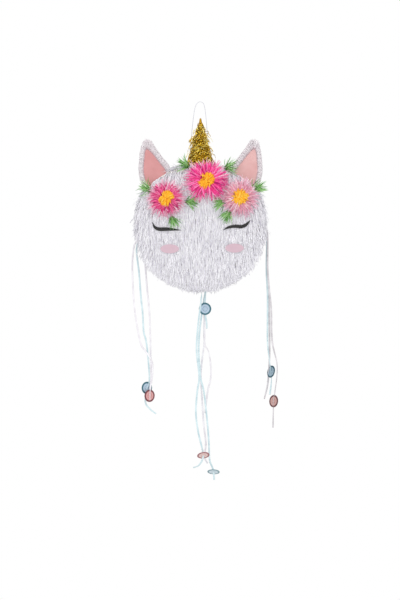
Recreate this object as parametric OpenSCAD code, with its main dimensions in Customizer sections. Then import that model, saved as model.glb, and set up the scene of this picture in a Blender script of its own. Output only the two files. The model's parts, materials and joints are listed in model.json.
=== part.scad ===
/* [Head] */
// Radius of the round card drum, mm
drum_r = 170; // [160:1:180]
// Height of the drum's flattened top above its centre, mm
drum_top = 166; // [158:1:172]
// Depth of the drum from front face to back face, mm
drum_depth = 90; // [84:1:100]
// Thickness of the card, mm
card = 3; // [2:0.5:4]
// Thickness of the paper tape, mm
tape = 0.4; // [0.3:0.1:0.6]
// Height of the hanging loop's top above the drum's centre, mm
loop_h = 356; // [350:1:365]

/* [Fringe] */
// How far the fringe stands off the front and back faces, mm
face_pile = 7.5; // [5:0.5:9]
// How far the fringe stands off the rim, mm
rim_pile = 14; // [12:0.5:15]
// How far the fringe stands off the trap door, mm
door_pile = 8; // [6:0.5:9]

/* [Horn] */
// Radius of the horn's base, mm
horn_r = 26; // [22:0.5:27]
// Height of the horn, mm
horn_h = 140; // [120:1:145]
// Distance of the horn's axis in front of the drum's middle, mm
horn_front = 22; // [20:1:24]

/* [Flowers] */
// Radius of the outer ring of petals, mm
petal_r = 52; // [46:0.5:52]
// Radius of the inner ring of petals, mm
petal_in_r = 44; // [38:0.5:45]
// Radius of the yellow centre, mm
eye_r = 24; // [20:0.5:26]

/* [Trap door and filling flap] */
// Angle of the trap door's hinge from straight down, degrees
door_a0 = -24; // [-28:0.5:-22]
// Angle of the trap door's free edge from straight down, degrees
door_a1 = 3.4; // [2:0.1:4]
// Depth of the trap door along the drum's axis, mm
door_w = 60; // [50:1:66]
// Width of the filling flap, mm
flap_w = 90; // [70:1:110]
// Height of the filling flap, mm
flap_h = 70; // [60:1:80]

/* [Ribbons] */
// Width of a ribbon, mm
ribbon_w = 5; // [4:0.5:6]
// Thickness that a ribbon takes up, mm
ribbon_t = 1; // [0.8:0.1:1.2]
// Diameter of a round pull tag, mm
tag_d = 35; // [30:1:38]
// Thickness of a pull tag, mm
tag_t = 1.6; // [1.2:0.1:2]
// Diameter of the hanging thread, mm
thread_d = 1.5; // [1:0.1:2]

/* [Hidden] */

// The row's origin is the top of the hanging loop, and the head's own frame starts at its centre.
front_y = -drum_depth / 2;
back_y = drum_depth / 2;
squareness = 2.45;
outline_points = 96;
gap = 0.4;
slot_gap = 0.6;
fringe_skin = 0.7;
hole_r = 2;
thread_left_x = -34;
thread_right_x = 26;
rim_in = front_y + card;
rim_out = back_y - card;

// The pile of the front fringe ends here, and the face pieces lie on it.
face_y = front_y - 0.5 - face_pile;

flower_at = [[-96, 77], [17, 127], [110, 80]];
pad_r = 22;
pad_t = 5;
outer_t = 8;
inner_t = 7;
eye_t = 13;

// Each tuft of leaves: x, z, and the direction in which it points, degrees.
tufts = [
    [-150, 105, 130], [-44, 172, 110], [-27, 68, -70], [-77, 16, -80],
    [80, 168, 70], [55, 66, -95], [77, 30, -100], [160, 108, 20]
];
tuft_len = 26;
tuft_w = 20;
tuft_t = 4;

// Ear, right side: points of the pink panel, and of the fringed edge beside each one.
ear_panel = [[150, 217], [158, 182], [158, 146], [142, 112], [97, 146], [116, 180]];
ear_edge = [[147, 241], [168, 205], [173, 150], [162, 96], [86, 150], [112, 205]];
ear_y0 = front_y + 7;
ear_y1 = ear_y0 + card;
ear_pile = 5.5;
ear_tongue = [124, 129, 48];
tongue_w = 40;
tongue_l = 14;

// Lashes: x, z and half width along the middle line, from the nose outwards.
lash_line_left = [
    [-53, -11, 0.4], [-75, -9, 3.2], [-96, -8, 5], [-115, -8, 5.2], [-127, -3, 3.8], [-135, 11, 0.4]
];
lash_line_right = [
    [63, -11, 0.4], [78, -3, 3.4], [97, 0, 4.6], [114, -1, 4.8], [127, 4, 4.2], [140, 18, 0.4]
];
cheek_at = [[-86, -63], [95, -61]];
cheek_rx = 26;
cheek_rz = 12.5;
sticker_t = 1.2;

// Ribbon routes in the head's frame: x, y, z and how far the ribbon is turned about its length, deg.
route_pull = [
    [4, -16, -172, 90], [4, -16, -182, 90], [1, -16, -214, 10], [-5, -16, -260, 20], [-9, -16, -302, 0],
    [-11, -16, -351, -20], [-5, -16, -405, 0], [-4, -16, -432, 10], [-9, -16, -463, 0], [-13, -16, -522, -15],
    [-7, -16, -575, 0], [4, -16, -622, 0], [8, -16, -644, 0], [5, -17, -657, 0], [0, -19, -666, 20],
    [-8, -21, -674, 40], [-21, -22, -678, 40]
];
route_centre_1 = [
    [15, 6, -172, 0], [14, 6, -184, 0], [10, 6, -205, 0], [3, 6, -250, 15], [-3, 6, -302, 0],
    [-5, 6, -351, -15], [-2, 6, -400, 0], [0, 6, -427, 0], [9, 6, -463, 10], [15, 6, -511, 0],
    [21, 6, -570, -15], [24, 6, -617, 0], [26, 8, -660, 0], [34, 11, -682, 0], [37, 12, -694, 0],
    [38, 12, -704, 0], [39, 12, -717, 0]
];
route_centre_2 = [
    [15, 13, -172, 0], [14, 13, -184, 0], [11, 13, -210, 0], [11, 13, -250, 10], [11, 13, -323, 0],
    [5, 13, -374, -20], [1, 13, -423, 0], [4, 13, -486, 20], [9, 13, -559, 0], [15, 14, -612, 0],
    [12, 18, -652, 0], [20, 24, -671, 0]
];
route_centre_3 = [
    [15, 20, -172, 0], [14, 20, -184, 0], [12, 20, -230, 0], [11, 20, -323, 20], [23, 20, -354, 50],
    [29, 20, -391, 20], [29, 20, -430, -20], [21, 20, -463, 0], [13, 20, -528, 40]
];
route_centre_4 = [
    [15, -1, -172, 0], [14, -1, -184, 0], [13, -1, -200, 0], [13, -1, -231, 0], [14, -1, -252, 0],
    [17, -1, -270, 15], [18, -1, -287, 30]
];
route_left_1 = [
    [-173, -6, -37, 0], [-180, -6, -41, 0], [-188, -6, -54, 0], [-193, -6, -105, 10], [-191, -6, -169, 0],
    [-185, -6, -242, -15], [-170, -6, -326, 0], [-155, -6, -351, 20], [-140, -6, -374, 30],
    [-135, -5, -396, 20], [-138, -4, -432, 0], [-143, -4, -460, -30], [-144, -4, -477, -38], [-144, -4, -490, -38]
];
route_left_2 = [
    [-173, 2, -37, 0], [-178, 2, -46, 0], [-181, 2, -71, 0], [-174, 2, -130, -10], [-168, 2, -206, 0],
    [-164, 2, -242, 15], [-161, 2, -295, 0], [-155, 2, -318, 0], [-150, 2, -354, -10], [-145, 6, -430, -30],
    [-152, 3, -455, -36], [-156, 4, -480, -30], [-155, 4, -500, 0], [-141, 3, -517, 40], [-126, 2, -528, 40]
];
route_left_3 = [
    [-170, 9, -42, 0], [-165, 9, -56, 0], [-159, 9, -85, 0], [-152, 9, -169, 10], [-145, 9, -242, 0],
    [-142, 9, -318, -10], [-141, 7, -370, 0], [-140, 3, -400, 0], [-140, 1, -426, 0], [-142, 1, -455, 0],
    [-143, 2, -472, 0]
];
route_right_1 = [
    [173, -6, 0, 0], [182, -6, -3, 0], [189, -6, -16, 0], [190, -6, -57, 0], [190, -6, -116, 10],
    [194, -6, -172, 0], [200, -6, -231, -15], [201, -6, -298, 0], [205, -6, -337, 20], [216, -6, -384, 50],
    [216, -6, -421, 50], [211, -6, -461, 50], [207, -6, -492, 50], [206, -6, -512, 50], [205, -6, -567, 30]
];
route_right_2 = [
    [173, 3, 0, 0], [182, 3, -3, 0], [188, 3, -18, 0], [188, 3, -60, 0], [187, 3, -120, -10],
    [190, 3, -190, 0], [190, 3, -251, 15], [190, 3, -326, 30], [196, 3, -380, 58], [200, 3, -409, 58],
    [201, 3, -432, 58], [199, 3, -455, 20], [196, 3, -474, 0]
];
route_right_3 = [
    [173, 12, 0, 0], [182, 12, -3, 0], [190, 12, -20, 0], [189, 12, -60, 0], [189, 12, -120, 0],
    [194, 12, -200, 10], [196, 12, -300, 0], [196, 12, -360, 0], [194, 12, -409, 0], [190, 12, -450, 20],
    [181, 10, -487, 40]
];

// The hanging thread's route in the head's frame: x and z, in the drum's middle plane.
route_thread = [
    [thread_left_x, 156], [thread_left_x, 164], [-33, 176], [-30, 210], [-26, 255], [-22, 295], [-18, 325],
    [-14, 343], [-8, 352.5], [0, loop_h - thread_d / 2], [7, 352], [11, 343], [14, 325], [17, 295],
    [20, 255], [23, 210], [25, 176], [thread_right_x, 164], [thread_right_x, 156]
];

// Tags: place, then tilt about X, about Z and about Y, degrees.
tag_pose_pull = [[8, -16, -644], [55, 0, -8]];
tag_pose_top = [[13, -1, -231], [0, 0, 0]];
tag_pose_low = [[37, 12, -694], [62, 0, 3]];
tag_pose_left_blue = [[-152, 3, -455], [0, 36, 0]];
tag_pose_left_pink = [[-144, -4, -477], [0, 38, 0]];
tag_pose_right_blue = [[200, 3, -409], [0, -58, 15]];
tag_pose_right_pink = [[207, -6, -492], [0, -50, 9]];

// One blend of four points, which a smooth line passes through in turn.
function blend(a, b, c, d, t) =
    0.5 * (2 * b + (c - a) * t + (2 * a - 5 * b + 4 * c - d) * t * t + (3 * b - a - 3 * c + d) * t * t * t);

// A smooth open line through the points of r, with n steps between two points.
function smooth(r, n) = let (e = len(r) - 1) [
    for (i = [0 : e - 1]) for (k = [0 : n - 1])
        blend(r[max(i - 1, 0)], r[i], r[i + 1], r[min(i + 2, e)], k / n),
    r[e]
];

// A smooth closed line through the points of r.
function smooth_ring(r, n) = let (c = len(r)) [
    for (i = [0 : c - 1]) for (k = [0 : n - 1])
        blend(r[(i + c - 1) % c], r[i], r[(i + 1) % c], r[(i + 2) % c], k / n)
];

// Steps along a route so that its rings stand no more than about step apart.
function even(r, step) = let (e = len(r) - 1) [
    for (i = [0 : e - 1])
        let (span = norm([for (k = [0 : 2]) r[i + 1][k] - r[i][k]]), n = max(1, round(span / step)))
            for (k = [0 : n - 1]) blend(r[max(i - 1, 0)], r[i], r[i + 1], r[min(i + 2, e)], k / n),
    r[e]
];

function xyz(p) = [p[0], p[1], p[2]];
function unit(v) = v / norm(v);
function heading(r, i) = unit(xyz(r[min(i + 1, len(r) - 1)]) - xyz(r[max(i - 1, 0)]));

// The eight points of a flat strip's section at one place on its route.
function section(p, t, turn, w, h) =
    let (a = unit(cross(t, [0, 1, 0])), b = cross(a, t), s = a * cos(turn) + b * sin(turn), u = cross(s, t))
        [for (k = [0 : 7]) p + s * (w / 2 * cos(45 * k)) + u * (h / 2 * sin(45 * k))];

// Head outline: a half circle below, a flattened dome above, grown by g.
function sign_pow(v, p) = sign(v) * pow(abs(v), p);
function outline_at(a, g) =
    let (p = 2 / squareness)
        a <= 180 ? [(drum_r + g) * sign_pow(cos(a), p), (drum_top + g) * sign_pow(sin(a), p)]
                 : [(drum_r + g) * cos(a), (drum_r + g) * sin(a)];

module outline(g) polygon([for (i = [0 : outline_points - 1]) outline_at(i * 360 / outline_points, g)]);

// Extrudes a shape drawn in X and Z from depth y0 to depth y1.
module slab(y0, y1) translate([0, y1, 0]) rotate([90, 0, 0]) linear_extrude(y1 - y0) children();

module at_head() translate([0, 0, -loop_h]) children();

// A slice of the drum between two angles from straight down.
module sector(a0, a1, r) polygon([
    [0, 0],
    for (i = [0 : 4]) let (a = a0 + (a1 - a0) * i / 4) [r * sin(a), -r * cos(a)]
]);

module band(g0, g1, y0, y1) slab(y0, y1) difference() {
    outline(g1);
    outline(g0);
}

module thread_holes(r) for (x = [thread_left_x, thread_right_x])
    translate([x, 0, drum_top - 20]) cylinder(r = r, h = 60, $fn = 24);

module tongue(w, l, y0, y1) translate([ear_tongue[0], 0, ear_tongue[1]]) rotate([0, -ear_tongue[2], 0])
    translate([-l, y0, -w / 2]) cube([l + 2, y1 - y0, w]);

module both_sides() {
    children();
    mirror([1, 0, 0]) children();
}

// Card shell

module front_panel() color("white") at_head() slab(front_y, rim_in) outline(0);

module flap_hole() translate([-flap_w / 2 - slot_gap, rim_out - 5, -flap_h / 2 - slot_gap])
    cube([flap_w + 2 * slot_gap, card + 20, flap_h + slot_gap]);

module back_panel() color("white") at_head() difference() {
    slab(rim_out, back_y) outline(0);
    flap_hole();
}

module door_space() slab(-door_w / 2 - slot_gap, door_w / 2 + slot_gap)
    sector(door_a0, door_a1, drum_r + 30);

module rim_wall() color("white") at_head() difference() {
    band(-card, 0, rim_in, rim_out);
    door_space();
    thread_holes(hole_r);
    both_sides() tongue(tongue_w + 2 * gap, tongue_l + 4, ear_y0 - gap, ear_y1 + gap);
}

module edge_tape(y0, y1) color("ivory") at_head() difference() {
    band(0, tape, y0, y1);
    both_sides() tongue(tongue_w + 2 * gap, tongue_l + 4, ear_y0 - gap, ear_y1 + gap);
}

module door_hinge_tape() color("ivory") at_head() intersection() {
    band(0, tape, -door_w / 2, door_w / 2);
    slab(-door_w, door_w) sector(door_a0 - 5, door_a0 - 0.2, drum_r + 30);
}

module flap_hinge_tape() color("ivory") at_head()
    translate([-flap_w / 2, back_y, flap_h / 2 + 0.3]) cube([flap_w, tape, 14]);

module trap_door() color("white") at_head() intersection() {
    band(-card, 0, -door_w / 2, door_w / 2);
    slab(-door_w, door_w) sector(door_a0 + 0.2, door_a1 - 0.2, drum_r + 30);
}

module fill_flap() color("white") at_head()
    translate([-flap_w / 2, rim_out, -flap_h / 2]) cube([flap_w, card, flap_h - slot_gap / 2]);

module hanger_plate() color("peru") at_head() difference() {
    intersection() {
        band(-2 * card, -card, -20, 20);
        translate([-52, -30, 100]) cube([104, 60, 100]);
    }
    thread_holes(hole_r);
}

module hanger_knots() color("white") at_head() for (x = [thread_left_x, thread_right_x])
    translate([x, 0, 154.2]) sphere(r = 3.6, $fn = 24);

module hanging_thread() color("gainsboro") at_head()
    strip([for (p = smooth(route_thread, 2)) [p[0], 0, p[1], 0]], thread_d, thread_d);

module ribbon_tapes() color("ivory") at_head() {
    for (a = [-78, 90]) rotate([0, -a, 0]) translate([-8, -13, -drum_r - 1.1]) cube([16, 30, 1]);
    rotate([0, -5.9, 0]) translate([-5, -4, -drum_r - 1.1]) cube([14, 28, 1]);
}

// Ears

// The ear's outline: the pink panel's at k = 0, the fringe's at k = 1.
function ear_line(k) = let (e = len(ear_panel) - 1)
    smooth_ring([for (i = [0 : e]) ear_panel[i] + k * (ear_edge[i] - ear_panel[i])], 5);

module ear_plate(k, g, y0, y1) slab(y0, y1) difference() {
    polygon(ear_line(k));
    outline(g);
}

module ear_card(side) color("white") at_head() mirror([side, 0, 0]) {
    ear_plate(0.5, tape + 0.1, ear_y0, ear_y1);
    tongue(tongue_w, tongue_l, ear_y0, ear_y1);
}

module ear_inner(side) color("lightpink") at_head() mirror([side, 0, 0])
    ear_plate(0, tape + 0.1, ear_y0 - 0.8, ear_y0);

module ear_fringe(side) color("white") at_head() mirror([side, 0, 0]) difference() {
    ear_plate(0.94, 1, ear_y0 - ear_pile, ear_y1 + ear_pile);
    slab(ear_y0 - 30, ear_y0 - 0.2) polygon(ear_line(0.05));
    slab(ear_y0 - gap, ear_y1 + gap) polygon(ear_line(0.56));
}

// Horn

module at_horn() at_head() translate([0, -horn_front, drum_top + tape + 0.1]) children();

module horn_cone() color("goldenrod") at_horn() rotate_extrude($fn = 48)
    polygon([[horn_r - 2, 0], [horn_r, 0], [2.5, horn_h - 2], [0, horn_h], [0, horn_h - 8]]);

module horn_tinsel() color("gold") at_horn() rotate_extrude($fn = 48)
    polygon([[horn_r + 0.5, 1], [horn_r + 5, 1], [horn_r + 4.5, 8], [6.5, horn_h - 6], [3.2, horn_h - 2]]);

// Flowers and leaves

module at_flower(i, y) at_head()
    translate([flower_at[i][0], y, flower_at[i][1]]) rotate([90, 0, 0]) children();

module flower_pads() color("white") for (i = [0 : 2]) at_flower(i, face_y)
    cylinder(r = pad_r, h = pad_t, $fn = 32);

// A round cushion of petals that is thinner at its edge.
module petal_disc(r, t) rotate_extrude($fn = 48)
    polygon([[0, 0], [r, t * 0.2], [r, t * 0.6], [r * 0.55, t], [0, t]]);

module petals_outer(i, tint) color(tint) at_flower(i, face_y - pad_t) petal_disc(petal_r, outer_t);

module petals_inner(i, tint) color(tint) at_flower(i, face_y - pad_t - outer_t)
    petal_disc(petal_in_r, inner_t);

module flower_eye(i) color("orange") at_flower(i, face_y - pad_t - outer_t - inner_t)
    rotate_extrude($fn = 48)
        polygon([[0, 0], [eye_r * 0.6, 0], [eye_r, eye_t * 0.45], [eye_r * 0.8, eye_t * 0.9], [0, eye_t]]);

module leaf_tufts() color("yellowgreen") at_head() for (p = tufts)
    slab(face_y - tuft_t, face_y - 0.1) translate([p[0], p[1]]) rotate(p[2])
        polygon([
            [-tuft_len / 2, 0], [tuft_len * 0.1, -tuft_w / 2], [tuft_len / 2, -tuft_w / 4],
            [tuft_len / 2, tuft_w / 4], [tuft_len * 0.1, tuft_w / 2]
        ]);

// Face

function side_of(p, i, d) =
    let (a = p[max(i - 1, 0)], b = p[min(i + 1, len(p) - 1)], t = unit([b[0] - a[0], b[1] - a[1]]))
        [p[i][0] - t[1] * p[i][2] * d, p[i][1] + t[0] * p[i][2] * d];

module lash(line) color("black") at_head() slab(face_y - sticker_t, face_y)
    let (p = smooth(line, 4), e = len(p) - 1)
        polygon([for (i = [0 : e]) side_of(p, i, 1), for (i = [e : -1 : 0]) side_of(p, i, -1)]);

module cheek(i) color("pink") at_head() slab(face_y - sticker_t, face_y) translate(cheek_at[i])
    polygon([for (a = [0 : 10 : 350]) [cheek_rx * cos(a), cheek_rz * sin(a)]]);

// Fringe, as plain soft solids

module horn_space() translate([0, -horn_front, drum_top - 6]) cylinder(r = horn_r + 9, h = 40, $fn = 48);

module ribbon_slot(x0, x1, y0, y1, z0, z1) translate([x0, y0, z0]) cube([x1 - x0, y1 - y0, z1 - z0]);

module front_fringe() color("whitesmoke") at_head() difference() {
    slab(face_y, front_y - 0.5) outline(face_pile);
    translate([-40, face_y - 5, drum_top - 1]) cube([80, face_pile + 20, 40]);
}

module side_fringe() color("whitesmoke") at_head() difference() {
    band(fringe_skin, rim_pile, front_y + 0.5, back_y - 0.5);
    slab(-door_w / 2 - 6, door_w / 2 + 6) sector(door_a0 - 6.5, door_a1 + 1.2, drum_r + 60);
    thread_holes(5);
    horn_space();
    both_sides() slab(ear_y0 - ear_pile - 1, ear_y1 + ear_pile + 1) polygon(ear_line(1.05));
    ribbon_slot(-200, -155, -14, 18, -100, -22);
    ribbon_slot(160, 200, -14, 18, -100, 14);
    ribbon_slot(0, 30, -6, 26, -200, -160);
}

module back_fringe() color("whitesmoke") at_head() difference() {
    slab(back_y + 0.5, back_y + 0.5 + face_pile) outline(face_pile);
    translate([-flap_w / 2 - 2, back_y - 1, -flap_h / 2 - 2]) cube([flap_w + 4, 20, flap_h + 16]);
}

module door_fringe() color("whitesmoke") at_head() difference() {
    intersection() {
        band(fringe_skin, door_pile, -door_w / 2, door_w / 2);
        slab(-door_w, door_w) sector(door_a0 + 4, door_a1 - 0.4, drum_r + 30);
    }
    ribbon_slot(-1, 30, -21, -11, -200, -160);
}

module flap_fringe() color("whitesmoke") at_head()
    translate([-flap_w / 2, back_y + 0.1, -flap_h / 2]) cube([flap_w, face_pile - 0.5, flap_h - 11]);

// Ribbons and tags

// One closed tube of a flat section along a route of x, y, z and turn.
module strip(r, w, h) {
    n = len(r);
    points = [for (i = [0 : n - 1]) each section(xyz(r[i]), heading(r, i), r[i][3], w, h)];
    walls = [
        for (i = [0 : n - 2]) for (k = [0 : 7]) let (a = 8 * i + k, b = 8 * i + (k + 1) % 8)
            each [[a, b, b + 8], [a, b + 8, a + 8]]
    ];
    polyhedron(points, concat(walls, [[for (k = [7 : -1 : 0]) k], [for (k = [0 : 7]) 8 * (n - 1) + k]]));
}

module ribbon(route, tint) color(tint) at_head() strip(even(route, 14), ribbon_w, ribbon_t);

module tag(pose, tint) color(tint) at_head() translate(pose[0])
    rotate([0, pose[1][2], 0]) rotate([0, 0, pose[1][1]]) rotate([90 + pose[1][0], 0, 0])
        translate([0, 0, -tag_t / 2]) cylinder(d = tag_d, h = tag_t, $fn = 48);

front_panel();
back_panel();
rim_wall();
edge_tape(front_y, front_y + 12);  // front_edge_tape
edge_tape(back_y - 12, back_y);  // rear_edge_tape
door_hinge_tape();
flap_hinge_tape();
trap_door();
fill_flap();
hanger_plate();
hanger_knots();
hanging_thread();
ribbon_tapes();
ear_card(1);  // ear_card_left
ear_card(0);  // ear_card_right
ear_inner(1);  // ear_inner_left
ear_inner(0);  // ear_inner_right
ear_fringe(1);  // ear_fringe_left
ear_fringe(0);  // ear_fringe_right
horn_cone();
horn_tinsel();
flower_pads();
petals_outer(0, "pink");  // petals_outer_left
petals_outer(1, "pink");  // petals_outer_centre
petals_outer(2, "pink");  // petals_outer_right
petals_inner(0, "hotpink");  // petals_inner_left
petals_inner(1, "hotpink");  // petals_inner_centre
petals_inner(2, "lightpink");  // petals_inner_right
flower_eye(0);  // flower_eye_left
flower_eye(1);  // flower_eye_centre
flower_eye(2);  // flower_eye_right
leaf_tufts();
lash(lash_line_left);  // lash_left
lash(lash_line_right);  // lash_right
cheek(0);  // cheek_left
cheek(1);  // cheek_right
front_fringe();
side_fringe();
back_fringe();
door_fringe();
flap_fringe();
ribbon(route_pull, "lightcyan");  // pull_ribbon
tag(tag_pose_pull, "lightpink");  // pull_tag
ribbon(route_centre_1, "lightcyan");  // ribbon_centre_1
ribbon(route_centre_2, "mistyrose");  // ribbon_centre_2
ribbon(route_centre_3, "white");  // ribbon_centre_3
ribbon(route_centre_4, "lightcyan");  // ribbon_centre_4
tag(tag_pose_top, "lightblue");  // tag_centre_top
tag(tag_pose_low, "lightblue");  // tag_centre_low
ribbon(route_left_1, "white");  // ribbon_left_1
ribbon(route_left_2, "lightcyan");  // ribbon_left_2
ribbon(route_left_3, "white");  // ribbon_left_3
tag(tag_pose_left_blue, "lightblue");  // tag_left_blue
tag(tag_pose_left_pink, "lightpink");  // tag_left_pink
ribbon(route_right_1, "white");  // ribbon_right_1
ribbon(route_right_2, "lightcyan");  // ribbon_right_2
ribbon(route_right_3, "white");  // ribbon_right_3
tag(tag_pose_right_blue, "lightblue");  // tag_right_blue
tag(tag_pose_right_pink, "lightpink");  // tag_right_pink
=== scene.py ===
"""Party pinata shaped as a unicorn's head: film fringe, horn, ears, flowers, ribbons and tags.

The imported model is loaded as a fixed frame. Each sub-assembly below reads its place from the frame,
makes its pieces around it, and says which body they move with. Lengths are in metres, and a value
written in millimetres is multiplied by MM.
"""
import json
import logging
import math
from dataclasses import dataclass
from enum import Enum
from typing import Any, Callable, Sequence

import bpy
import numpy as np
from mathutils import Euler, Matrix, Vector

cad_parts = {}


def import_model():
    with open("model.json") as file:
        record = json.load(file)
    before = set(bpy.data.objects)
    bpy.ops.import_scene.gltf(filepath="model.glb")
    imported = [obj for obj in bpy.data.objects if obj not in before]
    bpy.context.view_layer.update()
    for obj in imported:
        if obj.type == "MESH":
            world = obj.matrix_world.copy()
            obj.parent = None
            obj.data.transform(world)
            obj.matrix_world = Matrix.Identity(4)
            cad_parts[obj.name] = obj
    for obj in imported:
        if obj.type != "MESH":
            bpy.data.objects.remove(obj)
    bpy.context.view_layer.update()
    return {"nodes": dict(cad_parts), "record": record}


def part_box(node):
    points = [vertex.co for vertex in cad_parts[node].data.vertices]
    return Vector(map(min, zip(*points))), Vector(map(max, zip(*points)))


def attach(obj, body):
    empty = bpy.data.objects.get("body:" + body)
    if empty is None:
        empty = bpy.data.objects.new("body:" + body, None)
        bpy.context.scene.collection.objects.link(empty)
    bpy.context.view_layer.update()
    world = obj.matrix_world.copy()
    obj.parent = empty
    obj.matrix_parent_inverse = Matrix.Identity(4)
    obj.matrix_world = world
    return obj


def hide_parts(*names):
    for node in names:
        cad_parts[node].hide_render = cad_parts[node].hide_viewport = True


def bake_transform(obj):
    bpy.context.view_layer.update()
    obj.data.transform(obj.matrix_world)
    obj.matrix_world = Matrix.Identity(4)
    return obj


MM = 0.001
LOG = logging.getLogger("pinata")
Array = np.ndarray


# ---------------------------------------------------------------------------------------------
# Small tools
# ---------------------------------------------------------------------------------------------


def srgb(code: str) -> tuple[float, float, float, float]:
    """Turns an sRGB hex code to a linear colour.

    Args:
        code: six hex digits.
    Returns:
        Red, green, blue and alpha, linear.
    """
    parts = [int(code[i:i + 2], 16) / 255 for i in (0, 2, 4)]
    line = [c / 12.92 if c <= 0.04045 else ((c + 0.055) / 1.055) ** 2.4 for c in parts]
    return (line[0], line[1], line[2], 1.0)


def add_node(tree: bpy.types.NodeTree, kind: str, settings: dict[str, Any],
             inputs: dict[Any, Any]) -> bpy.types.Node:
    """Adds one node.

    Args:
        tree: the material's node tree.
        kind: the node's type.
        settings: the node's own properties.
        inputs: socket name or number to a value, or to the socket that feeds it.
    Returns:
        The node.
    """
    node = tree.nodes.new(kind)
    for name, value in settings.items():
        setattr(node, name, value)
    for name, value in inputs.items():
        if isinstance(value, bpy.types.NodeSocket):
            tree.links.new(value, node.inputs[name])
        else:
            node.inputs[name].default_value = value
    return node


def unit(v: Array) -> Array:
    """Gives vectors of length one along the last axis, with the directions of those given."""
    return v / np.maximum(np.linalg.norm(v, axis=-1, keepdims=True), 1e-12)


def ease(t: Array) -> Array:
    """Gives a smooth step from 0 to 1 as the given values go from 0 to 1."""
    t = np.clip(t, 0, 1)
    return t * t * (3 - 2 * t)


def deselect() -> None:
    """Leaves edit mode and deselects everything."""
    if bpy.context.object is not None and bpy.context.object.mode != "OBJECT":
        bpy.ops.object.mode_set(mode="OBJECT")
    bpy.ops.object.select_all(action="DESELECT")


def select_faces(obj: bpy.types.Object, wanted: Callable[[bpy.types.MeshPolygon], bool]) -> None:
    """Selects in edit mode only the faces that a test picks.

    Args:
        obj: the active object, in edit mode.
        wanted: says of a face whether it is selected.
    """
    bpy.ops.mesh.select_mode(type="FACE")
    bpy.ops.mesh.select_all(action="DESELECT")
    bpy.ops.object.mode_set(mode="OBJECT")
    for face in obj.data.polygons:
        face.select = wanted(face)
    bpy.ops.object.mode_set(mode="EDIT")


def mesh_object(name: str, verts: Array, quads: Array, tris: Array) -> bpy.types.Object:
    """Makes one mesh object of many quads and triangles at once.

    Args:
        name: the piece's name.
        verts: points, n by 3.
        quads: vertex numbers, m by 4.
        tris: vertex numbers, k by 3.
    Returns:
        The new object, linked to the scene.
    """
    mesh = bpy.data.meshes.new(name)
    mesh.vertices.add(len(verts))
    mesh.vertices.foreach_set("co", np.ascontiguousarray(verts, np.float32).ravel())
    loops = np.concatenate([quads.ravel(), tris.ravel()]).astype(np.int32)
    totals = np.concatenate([np.full(len(quads), 4), np.full(len(tris), 3)]).astype(np.int32)
    starts = (np.cumsum(totals) - totals).astype(np.int32)
    mesh.loops.add(len(loops))
    mesh.loops.foreach_set("vertex_index", loops)
    mesh.polygons.add(len(totals))
    mesh.polygons.foreach_set("loop_start", starts)
    mesh.update(calc_edges=True)
    mesh.validate()
    obj = bpy.data.objects.new(name, mesh)
    bpy.context.scene.collection.objects.link(obj)
    return obj


def set_values(obj: bpy.types.Object, name: str, values: Array) -> None:
    """Stores one number a vertex under a name, for a material to read."""
    layer = obj.data.attributes.new(name, "FLOAT", "POINT")
    layer.data.foreach_set("value", np.ascontiguousarray(values, np.float32).ravel())


# ---------------------------------------------------------------------------------------------
# Finishes
# ---------------------------------------------------------------------------------------------


@dataclass(frozen=True)
class Finish:
    """A material: what the real one is, and what is the same in all of them."""

    name: str
    roughness: float
    metallic: float = 0.0
    ior: float = 1.5

    def start(self) -> tuple[bpy.types.Material, bpy.types.NodeTree, bpy.types.Node]:
        """Makes the empty material.

        Returns:
            The material, its node tree and its shader.
        """
        made = bpy.data.materials.new(self.name)
        made.use_nodes = True
        tree = made.node_tree
        tree.nodes.clear()
        values = {"Roughness": self.roughness, "Metallic": self.metallic}
        if not self.metallic:
            values["IOR"] = self.ior
        shader = add_node(tree, "ShaderNodeBsdfPrincipled", {}, values)
        add_node(tree, "ShaderNodeOutputMaterial", {}, {"Surface": shader.outputs[0]})
        return made, tree, shader


def ramp(tree: bpy.types.NodeTree, feed: bpy.types.NodeSocket,
         stops: Sequence[tuple[float, str]]) -> bpy.types.NodeSocket:
    """Adds a colour ramp.

    Args:
        tree: the node tree.
        feed: the value that runs along the ramp.
        stops: place and colour of each stop.
    Returns:
        The ramp's colour socket.
    """
    node = add_node(tree, "ShaderNodeValToRGB", {}, {0: feed})
    band = node.color_ramp
    while len(band.elements) < len(stops):
        band.elements.new(0.5)
    for element, (place, code) in zip(band.elements, stops):
        element.position = place
        element.color = srgb(code)
    return node.outputs["Color"]


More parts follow.
